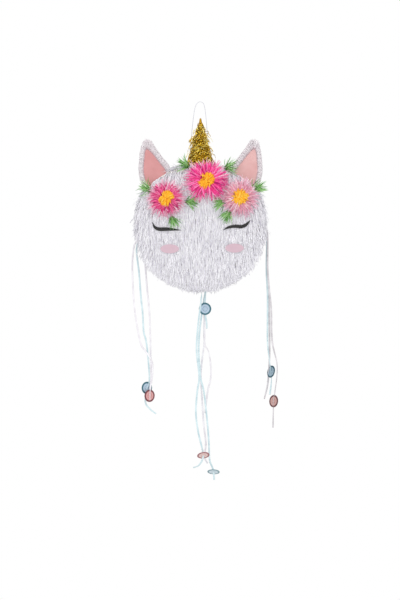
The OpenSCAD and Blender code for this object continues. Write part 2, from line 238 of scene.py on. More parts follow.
@dataclass(frozen=True)
class CutFilm(Finish):
    """Thin blown film cut in strips: each strip has its own tone, with painted shade towards its root, where
    the strips above shade it, and a faint painted glow.
    """

    tones: tuple[tuple[float, str], ...] = ((0.0, "FFFFFF"), (1.0, "FFFFFF"))
    # The colour of the painted shade at a strip's root, and how far up the strip it reaches.
    root_painted_shade: str = "888888"
    root_reach: float = 0.35
    wrinkle_mm: float = 2.0
    let_through: float = 0.4
    glow: float = 0.16
    relief: float = 0.35
    ripple_mm: float = 0.4

    def build(self) -> bpy.types.Material:
        """Makes the material.

        Returns:
            The material.
        """
        made, tree, shader = self.start()
        tone = add_node(tree, "ShaderNodeAttribute", {"attribute_name": "tone"}, {})
        along = add_node(tree, "ShaderNodeAttribute", {"attribute_name": "along"}, {})
        colour = ramp(tree, tone.outputs["Fac"], self.tones)
        # Painted shade: each strip is darkened from its root up to a share of its length, where the strips
        # above shade it.
        shade = ramp(tree, along.outputs["Fac"], ((0.0, self.root_painted_shade), (self.root_reach, "FFFFFF")))
        mixed = add_node(tree, "ShaderNodeMix", {"data_type": "RGBA", "blend_type": "MULTIPLY"},
                         {0: 1.0, 6: colour, 7: shade})
        tree.links.new(mixed.outputs[2], shader.inputs["Base Color"])
        place = add_node(tree, "ShaderNodeTexCoord", {}, {})
        # Film shrinks and cockles as it is cut; the ripples are about as long as a strip is wide.
        noise = add_node(tree, "ShaderNodeTexNoise", {}, {
            "Vector": place.outputs["Object"], "Scale": 1 / (self.wrinkle_mm * MM), "Detail": 1.0})
        bump = add_node(tree, "ShaderNodeBump", {}, {
            "Height": noise.outputs["Fac"], "Strength": self.relief, "Distance": self.ripple_mm * MM})
        tree.links.new(bump.outputs["Normal"], shader.inputs["Normal"])
        # Painted light: an emission of the film's own colour stands in for light that has scattered many
        # times in the pile, beyond what is traced.
        tree.links.new(mixed.outputs[2], shader.inputs["Emission Color"])
        shader.inputs["Emission Strength"].default_value = self.glow
        # Film this thin also glows with the light that falls on its far side.
        glow = add_node(tree, "ShaderNodeBsdfTranslucent", {}, {"Color": mixed.outputs[2]})
        both = add_node(tree, "ShaderNodeMixShader", {}, {
            0: self.let_through, 1: shader.outputs[0], 2: glow.outputs[0]})
        tree.links.new(both.outputs[0], tree.nodes["Material Output"].inputs["Surface"])
        return made


@dataclass(frozen=True)
class Foil(Finish):
    """Metallised film: mirror-like strips with tones that differ at random; the darkest tones are painted
    shade, for strips that lie in the winding's shadow.
    """

    # Painted shade: the low end of the tones is a dark gold that stands for shaded strips.
    tones: tuple[tuple[float, str], ...] = (
        (0.0, "7E5E12"), (0.3, "CA9C20"), (0.6, "F8D03C"), (1.0, "FFF49A"))
    crinkle_mm: float = 1.6
    dent_mm: float = 0.3

    def build(self) -> bpy.types.Material:
        """Makes the material.

        Returns:
            The material.
        """
        made, tree, shader = self.start()
        tone = add_node(tree, "ShaderNodeAttribute", {"attribute_name": "tone"}, {})
        colour = ramp(tree, tone.outputs["Fac"], self.tones)
        tree.links.new(colour, shader.inputs["Base Color"])
        place = add_node(tree, "ShaderNodeTexCoord", {}, {})
        # Foil this thin crinkles as it is wound, which breaks up each strip's reflection.
        noise = add_node(tree, "ShaderNodeTexNoise", {}, {
            "Vector": place.outputs["Object"], "Scale": 1 / (self.crinkle_mm * MM), "Detail": 1.0})
        bump = add_node(tree, "ShaderNodeBump", {}, {
            "Height": noise.outputs["Fac"], "Strength": 0.5, "Distance": self.dent_mm * MM})
        tree.links.new(bump.outputs["Normal"], shader.inputs["Normal"])
        return made


@dataclass(frozen=True)
class Fibre(Finish):
    """Card, paper or tape: a felted sheet of fibres with soft mottling."""

    light: str = "FFFFFF"
    dark: str = "EEEEEE"
    fibre_mm: float = 1.5
    relief_mm: float = 0.1
    flute_mm: float = 0.0

    def build(self) -> bpy.types.Material:
        """Makes the material.

        Returns:
            The material.
        """
        made, tree, shader = self.start()
        place = add_node(tree, "ShaderNodeTexCoord", {}, {})
        spot = place.outputs["Object"]
        # Fibres clump as the pulp drains: the mottling is much coarser than one fibre.
        fibres = add_node(tree, "ShaderNodeTexNoise", {}, {
            "Vector": spot, "Scale": 1 / (self.fibre_mm * MM), "Detail": 4.0})
        mottle = add_node(tree, "ShaderNodeTexNoise", {}, {
            "Vector": spot, "Scale": 1 / (18 * self.fibre_mm * MM), "Detail": 2.0})
        both = add_node(tree, "ShaderNodeMath", {"operation": "MULTIPLY"}, {
            0: fibres.outputs["Fac"], 1: mottle.outputs["Fac"]})
        colour = ramp(tree, both.outputs[0], ((0.12, self.dark), (0.42, self.light)))
        tree.links.new(colour, shader.inputs["Base Color"])
        height = fibres.outputs["Fac"]
        if self.flute_mm:
            # The flutes inside corrugated card print through its liner as faint ribs. The wave
            # turns through 20 radians in a length of one over its scale.
            wave = add_node(tree, "ShaderNodeTexWave", {"bands_direction": "X"}, {
                "Vector": spot, "Scale": math.tau / (20 * self.flute_mm * MM), "Distortion": 0.4})
            summed = add_node(tree, "ShaderNodeMath", {"operation": "ADD"}, {
                0: height, 1: wave.outputs["Fac"]})
            height = summed.outputs[0]
        bump = add_node(tree, "ShaderNodeBump", {}, {
            "Height": height, "Strength": 0.4, "Distance": self.relief_mm * MM})
        tree.links.new(bump.outputs["Normal"], shader.inputs["Normal"])
        return made


@dataclass(frozen=True)
class Ribbon(Finish):
    """Curling ribbon: drawn polypropylene with fine ribs along it and a satin shine."""

    light: str = "FFFFFF"
    dark: str = "DDDDDD"
    ribs: float = 9.0
    bands: float = 40.0
    rib_mm: float = 0.05

    def build(self) -> bpy.types.Material:
        """Makes the material.

        Returns:
            The material.
        """
        made, tree, shader = self.start()
        across = add_node(tree, "ShaderNodeAttribute", {"attribute_name": "across"}, {})
        along = add_node(tree, "ShaderNodeAttribute", {"attribute_name": "along"}, {})
        turned = add_node(tree, "ShaderNodeMath", {"operation": "MULTIPLY"}, {
            0: across.outputs["Fac"], 1: self.ribs * math.tau})
        rib = add_node(tree, "ShaderNodeMath", {"operation": "SINE"}, {0: turned.outputs[0]})
        # Slow bands along the ribbon, where it was drawn over the blade more or less.
        slow = add_node(tree, "ShaderNodeTexNoise", {"noise_dimensions": "1D"}, {
            "W": along.outputs["Fac"], "Scale": self.bands, "Detail": 2.0})
        colour = ramp(tree, slow.outputs["Fac"], ((0.35, self.dark), (0.65, self.light)))
        tree.links.new(colour, shader.inputs["Base Color"])
        bump = add_node(tree, "ShaderNodeBump", {}, {
            "Height": rib.outputs[0], "Strength": 0.5, "Distance": self.rib_mm * MM})
        tree.links.new(bump.outputs["Normal"], shader.inputs["Normal"])
        return made


@dataclass(frozen=True)
class PrintedCard(Finish):
    """Coated card printed with a ring of small marks round a plain face."""

    face: str = "FFFFFF"
    ring: str = "333333"
    marks: float = 26.0
    mark_reach: float = 0.035
    grain_mm: float = 0.9
    grain_depth_mm: float = 0.05

    def build(self) -> bpy.types.Material:
        """Makes the material.

        Returns:
            The material.
        """
        made, tree, shader = self.start()
        reach = add_node(tree, "ShaderNodeAttribute", {"attribute_name": "reach"}, {})
        turn = add_node(tree, "ShaderNodeAttribute", {"attribute_name": "turn"}, {})
        angle = add_node(tree, "ShaderNodeMath", {"operation": "MULTIPLY"}, {
            0: turn.outputs["Fac"], 1: self.marks})
        wave = add_node(tree, "ShaderNodeMath", {"operation": "SINE"}, {0: angle.outputs[0]})
        push = add_node(tree, "ShaderNodeMath", {"operation": "MULTIPLY_ADD"}, {
            0: wave.outputs[0], 1: self.mark_reach, 2: reach.outputs["Fac"]})
        # From the middle out: a small ring, a thin one, and the broad one at the edge.
        colour = ramp(tree, push.outputs[0], (
            (0.0, self.face), (0.12, self.face), (0.17, self.ring), (0.22, self.face), (0.34, self.face),
            (0.38, self.ring), (0.42, self.face), (0.70, self.face), (0.76, self.ring), (0.95, self.ring)))
        tree.links.new(colour, shader.inputs["Base Color"])
        place = add_node(tree, "ShaderNodeTexCoord", {}, {})
        noise = add_node(tree, "ShaderNodeTexNoise", {}, {
            "Vector": place.outputs["Object"], "Scale": 1 / (self.grain_mm * MM), "Detail": 2.0})
        bump = add_node(tree, "ShaderNodeBump", {}, {
            "Height": noise.outputs["Fac"], "Strength": 0.25, "Distance": self.grain_depth_mm * MM})
        tree.links.new(bump.outputs["Normal"], shader.inputs["Normal"])
        return made


@dataclass(frozen=True)
class Paint:
    """Every finish of the pinata, made once."""

    white_film: bpy.types.Material
    pale_pink: bpy.types.Material
    deep_pink: bpy.types.Material
    magenta: bpy.types.Material
    blush_film: bpy.types.Material
    yellow: bpy.types.Material
    green: bpy.types.Material
    gold: bpy.types.Material
    gold_card: bpy.types.Material
    card: bpy.types.Material
    tape: bpy.types.Material
    ear_pink: bpy.types.Material
    ear_pale: bpy.types.Material
    cheek: bpy.types.Material
    lash: bpy.types.Material
    thread: bpy.types.Material
    aqua_ribbon: bpy.types.Material
    white_ribbon: bpy.types.Material
    silver_ribbon: bpy.types.Material
    ear_film: bpy.types.Material
    tags: dict["TagCard", bpy.types.Material]

    @classmethod
    def mixed(cls) -> "Paint":
        """Makes all the finishes.

        Returns:
            The finishes.
        """
        return cls(
            white_film=CutFilm(
                "blown_film_white", 0.6, root_painted_shade="E8E6EE", let_through=0.5, glow=0.25, relief=0.2,
                tones=((0.0, "BCBAC4"), (0.2, "E1DFE6"), (0.45, "EDECF0"), (0.8, "F6F5F8"), (1.0, "FCFCFD")),
            ).build(),
            # Painted shade: the ear's border film is a greyer, pinker white than the face's, for strip ends
            # that curl back into shade.
            ear_film=CutFilm(
                "blown_film_white_ear_edge_painted_shade", 0.6, root_painted_shade="F2E2E6", let_through=0.5, glow=0.27,
                relief=0.15, tones=((0.0, "DAD6DA"), (0.3, "E4DFE3"), (0.6, "EBE5E8"), (1.0, "F2EEF0")),
            ).build(),
            pale_pink=CutFilm(
                "blown_film_pale_pink", 0.42, root_painted_shade="E0B0C4",
                tones=((0.0, "DFA0C0"), (0.35, "F0C0D4"), (0.75, "FADCE8"), (1.0, "FFF4F8")),
            ).build(),
            magenta=CutFilm(
                "blown_film_magenta", 0.38, root_painted_shade="E04C9C", glow=0.22,
                tones=((0.0, "C01C80"), (0.25, "F442A0"), (0.65, "FF6CBC"), (1.0, "FFBCE6")),
            ).build(),
            deep_pink=CutFilm(
                "blown_film_deep_pink", 0.38, root_painted_shade="D05090",
                tones=((0.0, "B42474"), (0.25, "EA4C94"), (0.65, "FF74B6"), (1.0, "FFC0E0")),
            ).build(),
            blush_film=CutFilm(
                "blown_film_blush", 0.42, root_painted_shade="D090A4",
                tones=((0.0, "DC94AE"), (0.35, "F2B4C8"), (0.7, "FACCD8"), (1.0, "FFECEF")),
            ).build(),
            yellow=CutFilm(
                "blown_film_yellow", 0.4, root_painted_shade="F0B454", wrinkle_mm=3.0, glow=0.15,
                tones=((0.0, "F29C14"), (0.3, "FFBE20"), (0.75, "FFD234"), (1.0, "FFE468")),
            ).build(),
            green=CutFilm(
                "blown_film_green", 0.42, root_painted_shade="7CB068",
                tones=((0.0, "4A8C3A"), (0.35, "80BE64"), (0.75, "B2E094"), (1.0, "E2F8D0")),
            ).build(),
            gold=Foil("metallised_foil_gold", 0.24, metallic=1.0).build(),
            gold_card=Fibre("foil_lined_card", 0.35, metallic=0.9, light="C79A2C", dark="8A6416").build(),
            card=Fibre(
                "white_lined_corrugated_card", 0.8, light="F2EFE8", dark="DAD4C8", flute_mm=6.0,
                relief_mm=0.15,
            ).build(),
            tape=Fibre("gummed_paper_tape", 0.6, light="F3F0EA", dark="E4DFD6").build(),
            ear_pink=Fibre("matt_pink_paper", 0.75, light="CC9191", dark="C28585", relief_mm=0.08).build(),
            ear_pale=Fibre(
                "matt_pale_pink_paper", 0.75, light="D8AEAC", dark="CE9E9C", relief_mm=0.08,
            ).build(),
            cheek=Fibre("matt_blush_paper", 0.75, light="CAAFB9", dark="C4A8B4", relief_mm=0.08).build(),
            lash=Fibre("glossy_black_vinyl", 0.22, light="1C1A19", dark="100F0F", relief_mm=0.05).build(),
            thread=Fibre(
                "twisted_polyester_thread", 0.55, light="C4C4CE", dark="ACACB8", fibre_mm=0.6,
            ).build(),
            aqua_ribbon=Ribbon("curling_ribbon_aqua", 0.34, light="D0E2E6", dark="BCD2D8").build(),
            white_ribbon=Ribbon("curling_ribbon_white", 0.34, light="EAE8EC", dark="DCD8DE").build(),
            # Painted shade: a darker grey copy of the white ribbon, for the right-hand bundle, which is
            # overlapped and turned away from the lights.
            silver_ribbon=Ribbon("curling_ribbon_white_painted_shade", 0.34, light="D2CED2", dark="BEBABE").build(),
            tags={
                card: PrintedCard(
                    f"coated_card_{card.name.lower()}", 0.4, face=card.value[1], ring=card.value[2],
                ).build()
                for card in TagCard
            },
        )


# ---------------------------------------------------------------------------------------------
# Strips: one is modelled, then laid along many lines
# ---------------------------------------------------------------------------------------------


class StripKind(Enum):
    """How a cut strip ends."""

    SQUARE = 0.75
    POINTED = 0.2


@dataclass
class StripPattern:
    """One modelled strip, ready to be copied along lines."""

    rings: int
    kind: StripKind = StripKind.SQUARE

    def __post_init__(self) -> None:
        """Models the strip upright: a flat three-sided section, drawn up ring by ring."""
        deselect()
        bpy.ops.mesh.primitive_circle_add(vertices=3, radius=1, fill_type="NGON", location=(0, 0, 0))
        strip = bpy.context.object
        bpy.ops.object.mode_set(mode="EDIT")
        bpy.ops.mesh.select_all(action="SELECT")
        for ring in range(1, self.rings):
            bpy.ops.mesh.extrude_region_move(TRANSFORM_OT_translate={"value": (0, 0, 1)})
            if ring == self.rings - 1:
                narrow = self.kind.value
                bpy.ops.transform.resize(value=(narrow, narrow, 1), center_override=(0, 0, ring))
        bpy.ops.mesh.select_all(action="SELECT")
        bpy.ops.mesh.normals_make_consistent(inside=False)
        bpy.ops.object.mode_set(mode="OBJECT")
        co = np.array([v.co for v in strip.data.vertices])
        self.ring_of = np.rint(co[:, 2]).astype(int)
        self.across = co[:, 0] / (math.sqrt(3) / 2)
        self.off = (co[:, 1] + 0.5) / 1.5
        faces = [list(p.vertices) for p in strip.data.polygons]
        self.quads = np.array([f for f in faces if len(f) == 4])
        self.tris = np.array([f for f in faces if len(f) == 3])
        mesh = strip.data
        bpy.data.objects.remove(strip)
        bpy.data.meshes.remove(mesh)

    def lay(self, name: str, lines: Array, facing: Array, width: Array, tone: Array,
            thick: float = 0.25 * MM) -> bpy.types.Object:
        """Copies the strip along every line, as one piece.

        Args:
            name: the piece's name.
            lines: where each strip runs, n by rings by 3.
            facing: where each strip's face looks at each ring, n by rings by 3.
            width: each strip's width, n.
            tone: each strip's tone from 0 to 1, n.
            thick: how far the strip's crease stands up.
        Returns:
            The piece, with tone and along stored for its material.
        """
        count = len(lines)
        ahead = np.empty_like(lines)
        ahead[:, 1:-1] = lines[:, 2:] - lines[:, :-2]
        ahead[:, 0] = lines[:, 1] - lines[:, 0]
        ahead[:, -1] = lines[:, -1] - lines[:, -2]
        ahead = unit(ahead)
        side = unit(np.cross(facing, ahead))
        face = np.cross(ahead, side)
        ring = self.ring_of
        points = (
            lines[:, ring]
            + side[:, ring] * (self.across[None, :, None] * width[:, None, None] / 2)
            + face[:, ring] * (self.off[None, :, None] * thick)
        )
        size = len(ring)
        shift = (np.arange(count) * size)[:, None, None]
        quads = (self.quads[None] + shift).reshape(-1, 4)
        tris = (self.tris[None] + shift).reshape(-1, 3)
        obj = mesh_object(name, points.reshape(-1, 3), quads, tris)
        set_values(obj, "tone", np.repeat(tone, size))
        set_values(obj, "along", np.tile(ring / (self.rings - 1), count))
        return obj


@dataclass
class Growth:
    """How a bunch of strips leaves its roots and falls."""

    roots: Array
    out: Array
    fall: Array
    length: Array
    facing: Array
    turn_at: float = 0.45
    sway: float = 0.12
    twist: float = 0.5

    def grown(self, rings: int, rng: np.random.Generator) -> tuple[Array, Array]:
        """Works out the lines of the strips.

        Args:
            rings: points on a line.
            rng: the source of chance.
        Returns:
            Lines and facings, both n by rings by 3.
        """
        count = len(self.roots)
        out, fall = unit(self.out), unit(self.fall)
        side = unit(np.cross(out + 0.01, self.facing))
        phase = rng.uniform(0, math.tau, count)
        pace = rng.uniform(0.5, 1.4, count)
        bend = self.sway * rng.normal(0, 1, count)
        lines = np.empty((count, rings, 3))
        facing = np.empty((count, rings, 3))
        lines[:, 0] = self.roots
        step = (self.length / (rings - 1))[:, None]
        spin = self.twist * rng.normal(0, 1, count)
        start = self.twist * rng.normal(0, 0.6, count)
        for k in range(rings):
            t = k / (rings - 1)
            share = ease(np.full((count, 1), t / self.turn_at))
            ahead = (1 - share) * out + share * fall
            ahead = unit(ahead + side * (bend * np.sin(phase + pace * math.tau * t) + bend)[:, None])
            if k < rings - 1:
                lines[:, k + 1] = lines[:, k] + ahead * step
            base = unit(self.facing - ahead * np.sum(self.facing * ahead, 1, keepdims=True))
            over = np.cross(ahead, base)
            angle = (start + spin * t)[:, None]
            facing[:, k] = base * np.cos(angle) + over * np.sin(angle)
        return lines, facing


def moved_with(obj: bpy.types.Object, body: str, finish: bpy.types.Material,
               nodes: Sequence[str] = ()) -> bpy.types.Object:
    """Dresses a finished piece and says which body carries it.

    Args:
        obj: the piece, in place.
        body: the body that it moves with.
        finish: its material.
        nodes: the plain solids that it stands for.
    Returns:
        The piece.
    """
    obj.data.materials.append(finish)
    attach(obj, body)
    if nodes:
        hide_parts(*nodes)
    LOG.info("%s on %s: %d faces", obj.name, body, len(obj.data.polygons))
    return obj


# ---------------------------------------------------------------------------------------------
# The head
# ---------------------------------------------------------------------------------------------


@dataclass(frozen=True)
class Drum:
    """The card drum's place and sizes, read from the frame."""

    centre: Vector
    radius: float
    top: float
    front: float
    back: float
    squareness: float = 2.45

    @classmethod
    def from_frame(cls) -> "Drum":
        """Reads the drum from its two panels.

        Returns:
            The drum.
        """
        low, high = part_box("front_panel")
        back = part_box("back_panel")[1].y
        radius = (high.x - low.x) / 2
        centre = Vector(((high.x + low.x) / 2, 0, low.z + radius))
        return cls(centre, radius, high.z - centre.z, low.y, back)

    def inside(self, x: Array, z: Array, margin: float) -> Array:
        """Says whether points of a face lie inside its outline by a margin.

        Args:
            x, z: the points, in the head's frame.
            margin: how far inside they have to lie.
        Returns:
            One truth value a point.
        """
        r, t, n = self.radius - margin, self.top - margin, self.squareness
        upper = (np.abs(x) / r) ** n + (np.abs(z) / t) ** n < 1
        return np.where(z > 0, upper, np.hypot(x, z) < r)

    def rim_line(self, spacing: float) -> tuple[Array, Array]:
        """Evenly spaced places round the rim.

        Args:
            spacing: distance between two places.
        Returns:
            Points and outward directions in X and Z, both n by 2.
        """
        a = np.linspace(0, math.tau, 2881)[:-1]
        p = 2 / self.squareness
        c, s = np.cos(a), np.sin(a)
        dome = np.stack([self.radius * np.sign(c) * np.abs(c) ** p, self.top * np.abs(s) ** p], 1)
        bowl = np.stack([self.radius * c, self.radius * s], 1)
        line = np.where((s > 0)[:, None], dome, bowl)
        ahead = np.roll(line, -1, 0) - np.roll(line, 1, 0)
        out = unit(np.stack([ahead[:, 1], -ahead[:, 0]], 1))
        run = np.concatenate([[0], np.cumsum(np.linalg.norm(np.diff(line, axis=0), axis=1))])
        at = np.arange(0, run[-1], spacing)
        pick = np.searchsorted(run, at).clip(0, len(line) - 1)
        return line[pick], out[pick]

    def place(self, x: Array, y: Array, z: Array) -> Array:
        """Gives points of the head's own frame in the frame of the whole pinata."""
        return np.stack([x + self.centre.x, y + self.centre.y, z + self.centre.z], -1)


@dataclass(frozen=True)
class RibbonGap:
    """Where ribbons leave the rim: no strips are rooted there, and few hang across it.

    Its reach in x, y and z is in the head's frame. A strip rooted above it may lap over it a little.
    """

    x: tuple[float, float]
    y: tuple[float, float]
    z: tuple[float, float]
    lap: float = 16 * MM

    def holds(self, x: Array, y: Array, z: Array) -> Array:
        """Says of each root at x, y, z whether it lies in the gap.

        Args:
            x, y, z: the roots, in the head's frame.
        Returns:
            One truth value a root.
        """
        inside = (x > self.x[0]) & (x < self.x[1]) & (y > self.y[0]) & (y < self.y[1])
        return inside & (z > self.z[0]) & (z < self.z[1])

    def shortened(self, x: Array, y: Array, z: Array, length: Array) -> Array:
        """Cuts the strips that are rooted above the gap, so that they end over it.

        Args:
            x, y, z: the roots, in the head's frame.
            length: the strips' lengths before.
        Returns:
            Their lengths after.
        """
        above = (x > self.x[0]) & (x < self.x[1]) & (y > self.y[0]) & (y < self.y[1]) & (z >= self.z[1])
        return np.where(above, np.clip(np.minimum(length, z - self.z[1] + self.lap), 5 * MM, None), length)


RIBBON_GAPS = (
    RibbonGap((-0.2, -0.12), (-0.010, 0.013), (-0.056, -0.03)),
    RibbonGap((0.12, 0.2), (-0.010, 0.016), (-0.016, 0.005)),
    RibbonGap((-0.002, 0.034), (-0.004, 0.025), (-0.2, -0.15)),
    RibbonGap((-0.001, 0.012), (-0.021, -0.011), (-0.2, -0.15)),
)


# Where the thread passes through the top of the rim, in x from the head's middle.
THREAD_HOLES = (-34 * MM, 26 * MM)


@dataclass
class Fringe:
    """The cut film that covers the drum: rows of strips, each row hanging over the next one."""

    drum: Drum
    paint: Paint
    row: float = 7.5 * MM
    pitch: float = 2.2 * MM
    width: float = 2.5 * MM
    length: float = 34 * MM
    half_span: float = 188 * MM
    droop: float = 181 * MM
    pile: float = 7.0 * MM
    pressed_pile: float = 5.2 * MM
    crease: float = 0.35 * MM
    edge_pitch: float = 0.9 * MM
    edge_bottom: float = -60 * MM
    between_ears: float = 62 * MM
    pad: float = 24 * MM
    hole: float = 5 * MM
    ear_middle: float = 124 * MM
    ear_half: float = 36 * MM
    strip: StripPattern | None = None

    def __post_init__(self) -> None:
        """Models the strip that all of the fringe is copied from."""
        self.strip = StripPattern(5)

    def tones(self, count: int, rng: np.random.Generator) -> Array:
        """Draws tones of strips, mostly in the upper half of the film's range."""
        return 0.2 + 0.8 * rng.beta(2.2, 1.6, count)

    def face_roots(self, rng: np.random.Generator) -> tuple[Array, Array]:
        """Spreads the roots of the rows over a face.

        Args:
            rng: the source of chance.
        Returns:
            Their x and z, in the head's frame.
        """
        d = self.drum
        xs, zs = [], []
        for i, z in enumerate(np.arange(-d.radius + 5 * MM, d.top - 2 * MM, self.row)):
            x = np.arange(-d.radius, d.radius, self.pitch) + (i % 3) * self.pitch / 3
            x = x + rng.uniform(-0.4, 0.4, len(x)) * self.pitch
            level = z + rng.uniform(-0.45, 0.45, len(x)) * self.row
            keep = d.inside(x, level, 0.3 * MM)
            xs.append(x[keep])
            zs.append(level[keep])
        return np.concatenate(xs), np.concatenate(zs)

    def cut(self, x: Array, z: Array, full: Array, rng: np.random.Generator) -> Array:
        """Shortens the strips that would hang far below the head.

        Args:
            x, z: the roots.
            full: the lengths before trimming.
            rng: the source of chance.
        Returns:
            The trimmed lengths.
        """
        room = z - self.lower_edge(x) + rng.gamma(1.6, 2.0 * MM, len(x)) - 2 * MM
        return np.clip(np.minimum(full, room), 10 * MM, None)

    def lower_edge(self, x: Array) -> Array:
        """Gives the height at which the strips end below each x; the sides hang plumb above it."""
        bowl = self.droop * np.sqrt(np.maximum(1 - (x / self.half_span) ** 2, 0))
        return -np.maximum(bowl, 50 * MM)

    def flattened(self, lines: Array, sign: float, stickers: Sequence[tuple[Vector, Vector]]) -> Array:
        """Presses strips down to the pile's thickness, and more where a sticker lies on them.

        Args:
            lines: the strips' lines.
            sign: -1 at the front and 1 at the back.
            stickers: lowest and highest corner of each sticker.
        Returns:
            The pressed lines.
        """
        base = self.drum.front if sign < 0 else self.drum.back
        cap = np.full(lines.shape[:2], self.pile)
        for low, high in stickers:
            near_x = (lines[..., 0] > low.x - 5 * MM) & (lines[..., 0] < high.x + 5 * MM)
            near_z = (lines[..., 2] > low.z - 5 * MM) & (lines[..., 2] < high.z + 5 * MM)
            cap = np.where(near_x & near_z, self.pressed_pile, cap)
        stand = np.maximum(sign * (lines[..., 1] - base), 0.1 * MM)
        pressed = lines.copy()
        pressed[..., 1] = base + sign * cap * np.tanh(stand / cap)
        return pressed

    def face_growth(self, x: Array, z: Array, sign: float, rng: np.random.Generator) -> Growth:
        """Works out how the strips of a face leave their roots and fall.

        Args:
            x, z: the roots, in the head's frame.
            sign: -1 at the front and 1 at the back.
            rng: the source of chance.
        Returns:
            The strips' growth.
        """
        d, n = self.drum, len(x)
        base = d.front if sign < 0 else d.back
        roots = d.place(x, np.full(n, base + sign * 0.3 * MM), z)
        lift = rng.uniform(0.4, 1.1, n)
        far = np.hypot(x / d.radius, z / np.where(z > 0, d.top, d.radius))
        splay = np.clip((far - 0.8) / 0.2, 0, 1.2) ** 1.5
        # Strips near the outline splay outwards, but few stand up over the top of the head.
        side, up = x / d.radius * splay, np.where(z > 0, 0.35, 1.0) * z / d.radius * splay
        out = np.stack([rng.normal(0, 0.12, n) + 0.9 * side, sign * lift, 0.9 * up - 0.75], 1)
        across, depth = rng.normal(0, 0.10, n) + 0.22 * side, sign * rng.normal(-0.01, 0.05, n)
        fall = np.stack([across, depth, np.full(n, -1.0)], 1)
        length = self.cut(x, z, self.length * rng.uniform(0.75, 1.15, n), rng)
        facing = np.tile([0.0, sign, 0.25], (n, 1))
        return Growth(roots, out, fall, length, facing, turn_at=0.5, sway=0.08, twist=0.24)

    def lay(self, name: str, growth: Growth, rng: np.random.Generator, body: str, nodes: Sequence[str] = (),
            sign: float = 0.0, stickers: Sequence[tuple[Vector, Vector]] = (),
            within_depth: bool = False) -> bpy.types.Object:
        """Lays strips as one piece and hands it to its body.

        Args:
            name: the piece's name.
            growth: the strips' growth.
            rng: the source of chance.
            body: the body that the piece moves with.
            nodes: the plain solids that it stands for.
            sign: -1 or 1 presses the strips to the front or the back; 0 leaves them free.
            stickers: lowest and highest corner of each sticker that lies on them.
            within_depth: keeps strips from standing out past the two faces by more than the pile.
        Returns:
            The piece.
        """
        n = len(growth.roots)
        lines, facing = growth.grown(self.strip.rings, rng)
        if within_depth:
            reach = np.abs(lines[..., 1])
            over = self.pile * np.tanh(np.maximum(reach - self.drum.back, 0) / self.pile)
            lines[..., 1] = np.sign(lines[..., 1]) * (np.minimum(reach, self.drum.back) + over)
        if sign:
            lines = self.flattened(lines, sign, stickers)
        width = self.width * rng.uniform(0.7, 1.25, n)
        obj = self.strip.lay(name, lines, facing, width, self.tones(n, rng), self.crease)
        return moved_with(obj, body, self.paint.white_film, nodes)

    def build_front(self, flowers: Sequence[Vector]) -> None:
        """Lays the face's fringe, bare where a flower's pad is glued.

        Args:
            flowers: the middles of the flowers.
        """
        rng = np.random.default_rng(11)
        x, z = self.face_roots(rng)
        for spot in flowers:
            keep = np.hypot(x + self.drum.centre.x - spot.x, z + self.drum.centre.z - spot.z) > self.pad
            x, z = x[keep], z[keep]
        stickers = [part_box(name) for name in ("lash_left", "lash_right", "cheek_left", "cheek_right")]
        for name, pick, nodes in (("upper", z > 0, ["front_fringe"]), ("lower", z <= 0, [])):
            growth = self.face_growth(x[pick], z[pick], -1, rng)
            self.lay(f"front_fringe_{name}", growth, rng, "shell", nodes, -1, stickers)

    def build_back(self) -> None:
        """Lays the back's fringe: on the panel, over the flap's hinge and on the flap."""
        rng = np.random.default_rng(12)
        x, z = self.face_roots(rng)
        low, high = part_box("fill_flap")
        left, right = low.x - self.drum.centre.x, high.x - self.drum.centre.x
        bottom, hinge = low.z - self.drum.centre.z, high.z - self.drum.centre.z
        within = (x > left) & (x < right)
        beside = np.abs(x - (left + right) / 2) < (right - left) / 2 + 4 * MM
        beside &= (z > bottom - 1 * MM) & (z < hinge + self.length)
        on_flap = within & (z > bottom) & (z < hinge - 9 * MM)
        over = within & (z >= hinge + 1 * MM) & (z < hinge + self.length)
        rest = ~beside
        growth = self.face_growth(x[rest], z[rest], 1, rng)
        self.lay("back_fringe_strips", growth, rng, "shell", ["back_fringe"], 1)
        growth = self.face_growth(x[on_flap], z[on_flap], 1, rng)
        self.lay("flap_fringe_strips", growth, rng, "fill_flap", ["flap_fringe"], 1)
        growth = self.face_growth(x[over], z[over], 1, rng)
        lines, facing = growth.grown(self.strip.rings, rng)
        lines = self.flattened(lines, 1, ())
        n = int(over.sum())
        width = self.width * rng.uniform(0.7, 1.25, n)
        strips = self.strip.lay("hinge_fringe_strips", lines, facing, width, self.tones(n, rng), self.crease)
        strips.data.materials.append(self.paint.white_film)
        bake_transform(strips)

    def build_rim(self, horn: "Horn", threads: Sequence[float]) -> None:
        """Lays the rim's fringe, with the part on the trap door riding on the door.

        Args:
            horn: the horn, whose foot is left bare.
            threads: x of each place where a thread passes.
        """
        rng = np.random.default_rng(13)
        d = self.drum
        spots, outs = d.rim_line(self.row)
        rows, ys, normals = [], [], []
        for i, (spot, out) in enumerate(zip(spots, outs)):
            y = np.arange(d.front + 0.8 * MM, d.back - 1.5 * MM, self.pitch) + (i % 3) * self.pitch / 3
            y = y + rng.uniform(-0.4, 0.4, len(y)) * self.pitch
            ys.append(y)
            along = rng.uniform(-0.45, 0.45, (len(y), 1)) * self.row
            rows.append(spot + along * np.array([-out[1], out[0]]))
            normals.append(np.tile(out, (len(y), 1)))
        p, y, out = np.concatenate(rows), np.concatenate(ys), np.concatenate(normals)
        x, z = p[:, 0], p[:, 1]
        keep = np.hypot(x - horn.foot.x, y - horn.foot.y) > horn.radius + 6 * MM
        keep |= z < 0
        for side in (-1, 1):
            ear = (np.abs(side * x - self.ear_middle) < self.ear_half) & (z > 90 * MM)
            ear &= (y > -46 * MM) & (y < -34 * MM)
            keep &= ~ear
        for place in threads:
            keep &= ~((np.hypot(x - place, y) < self.hole) & (z > 0))
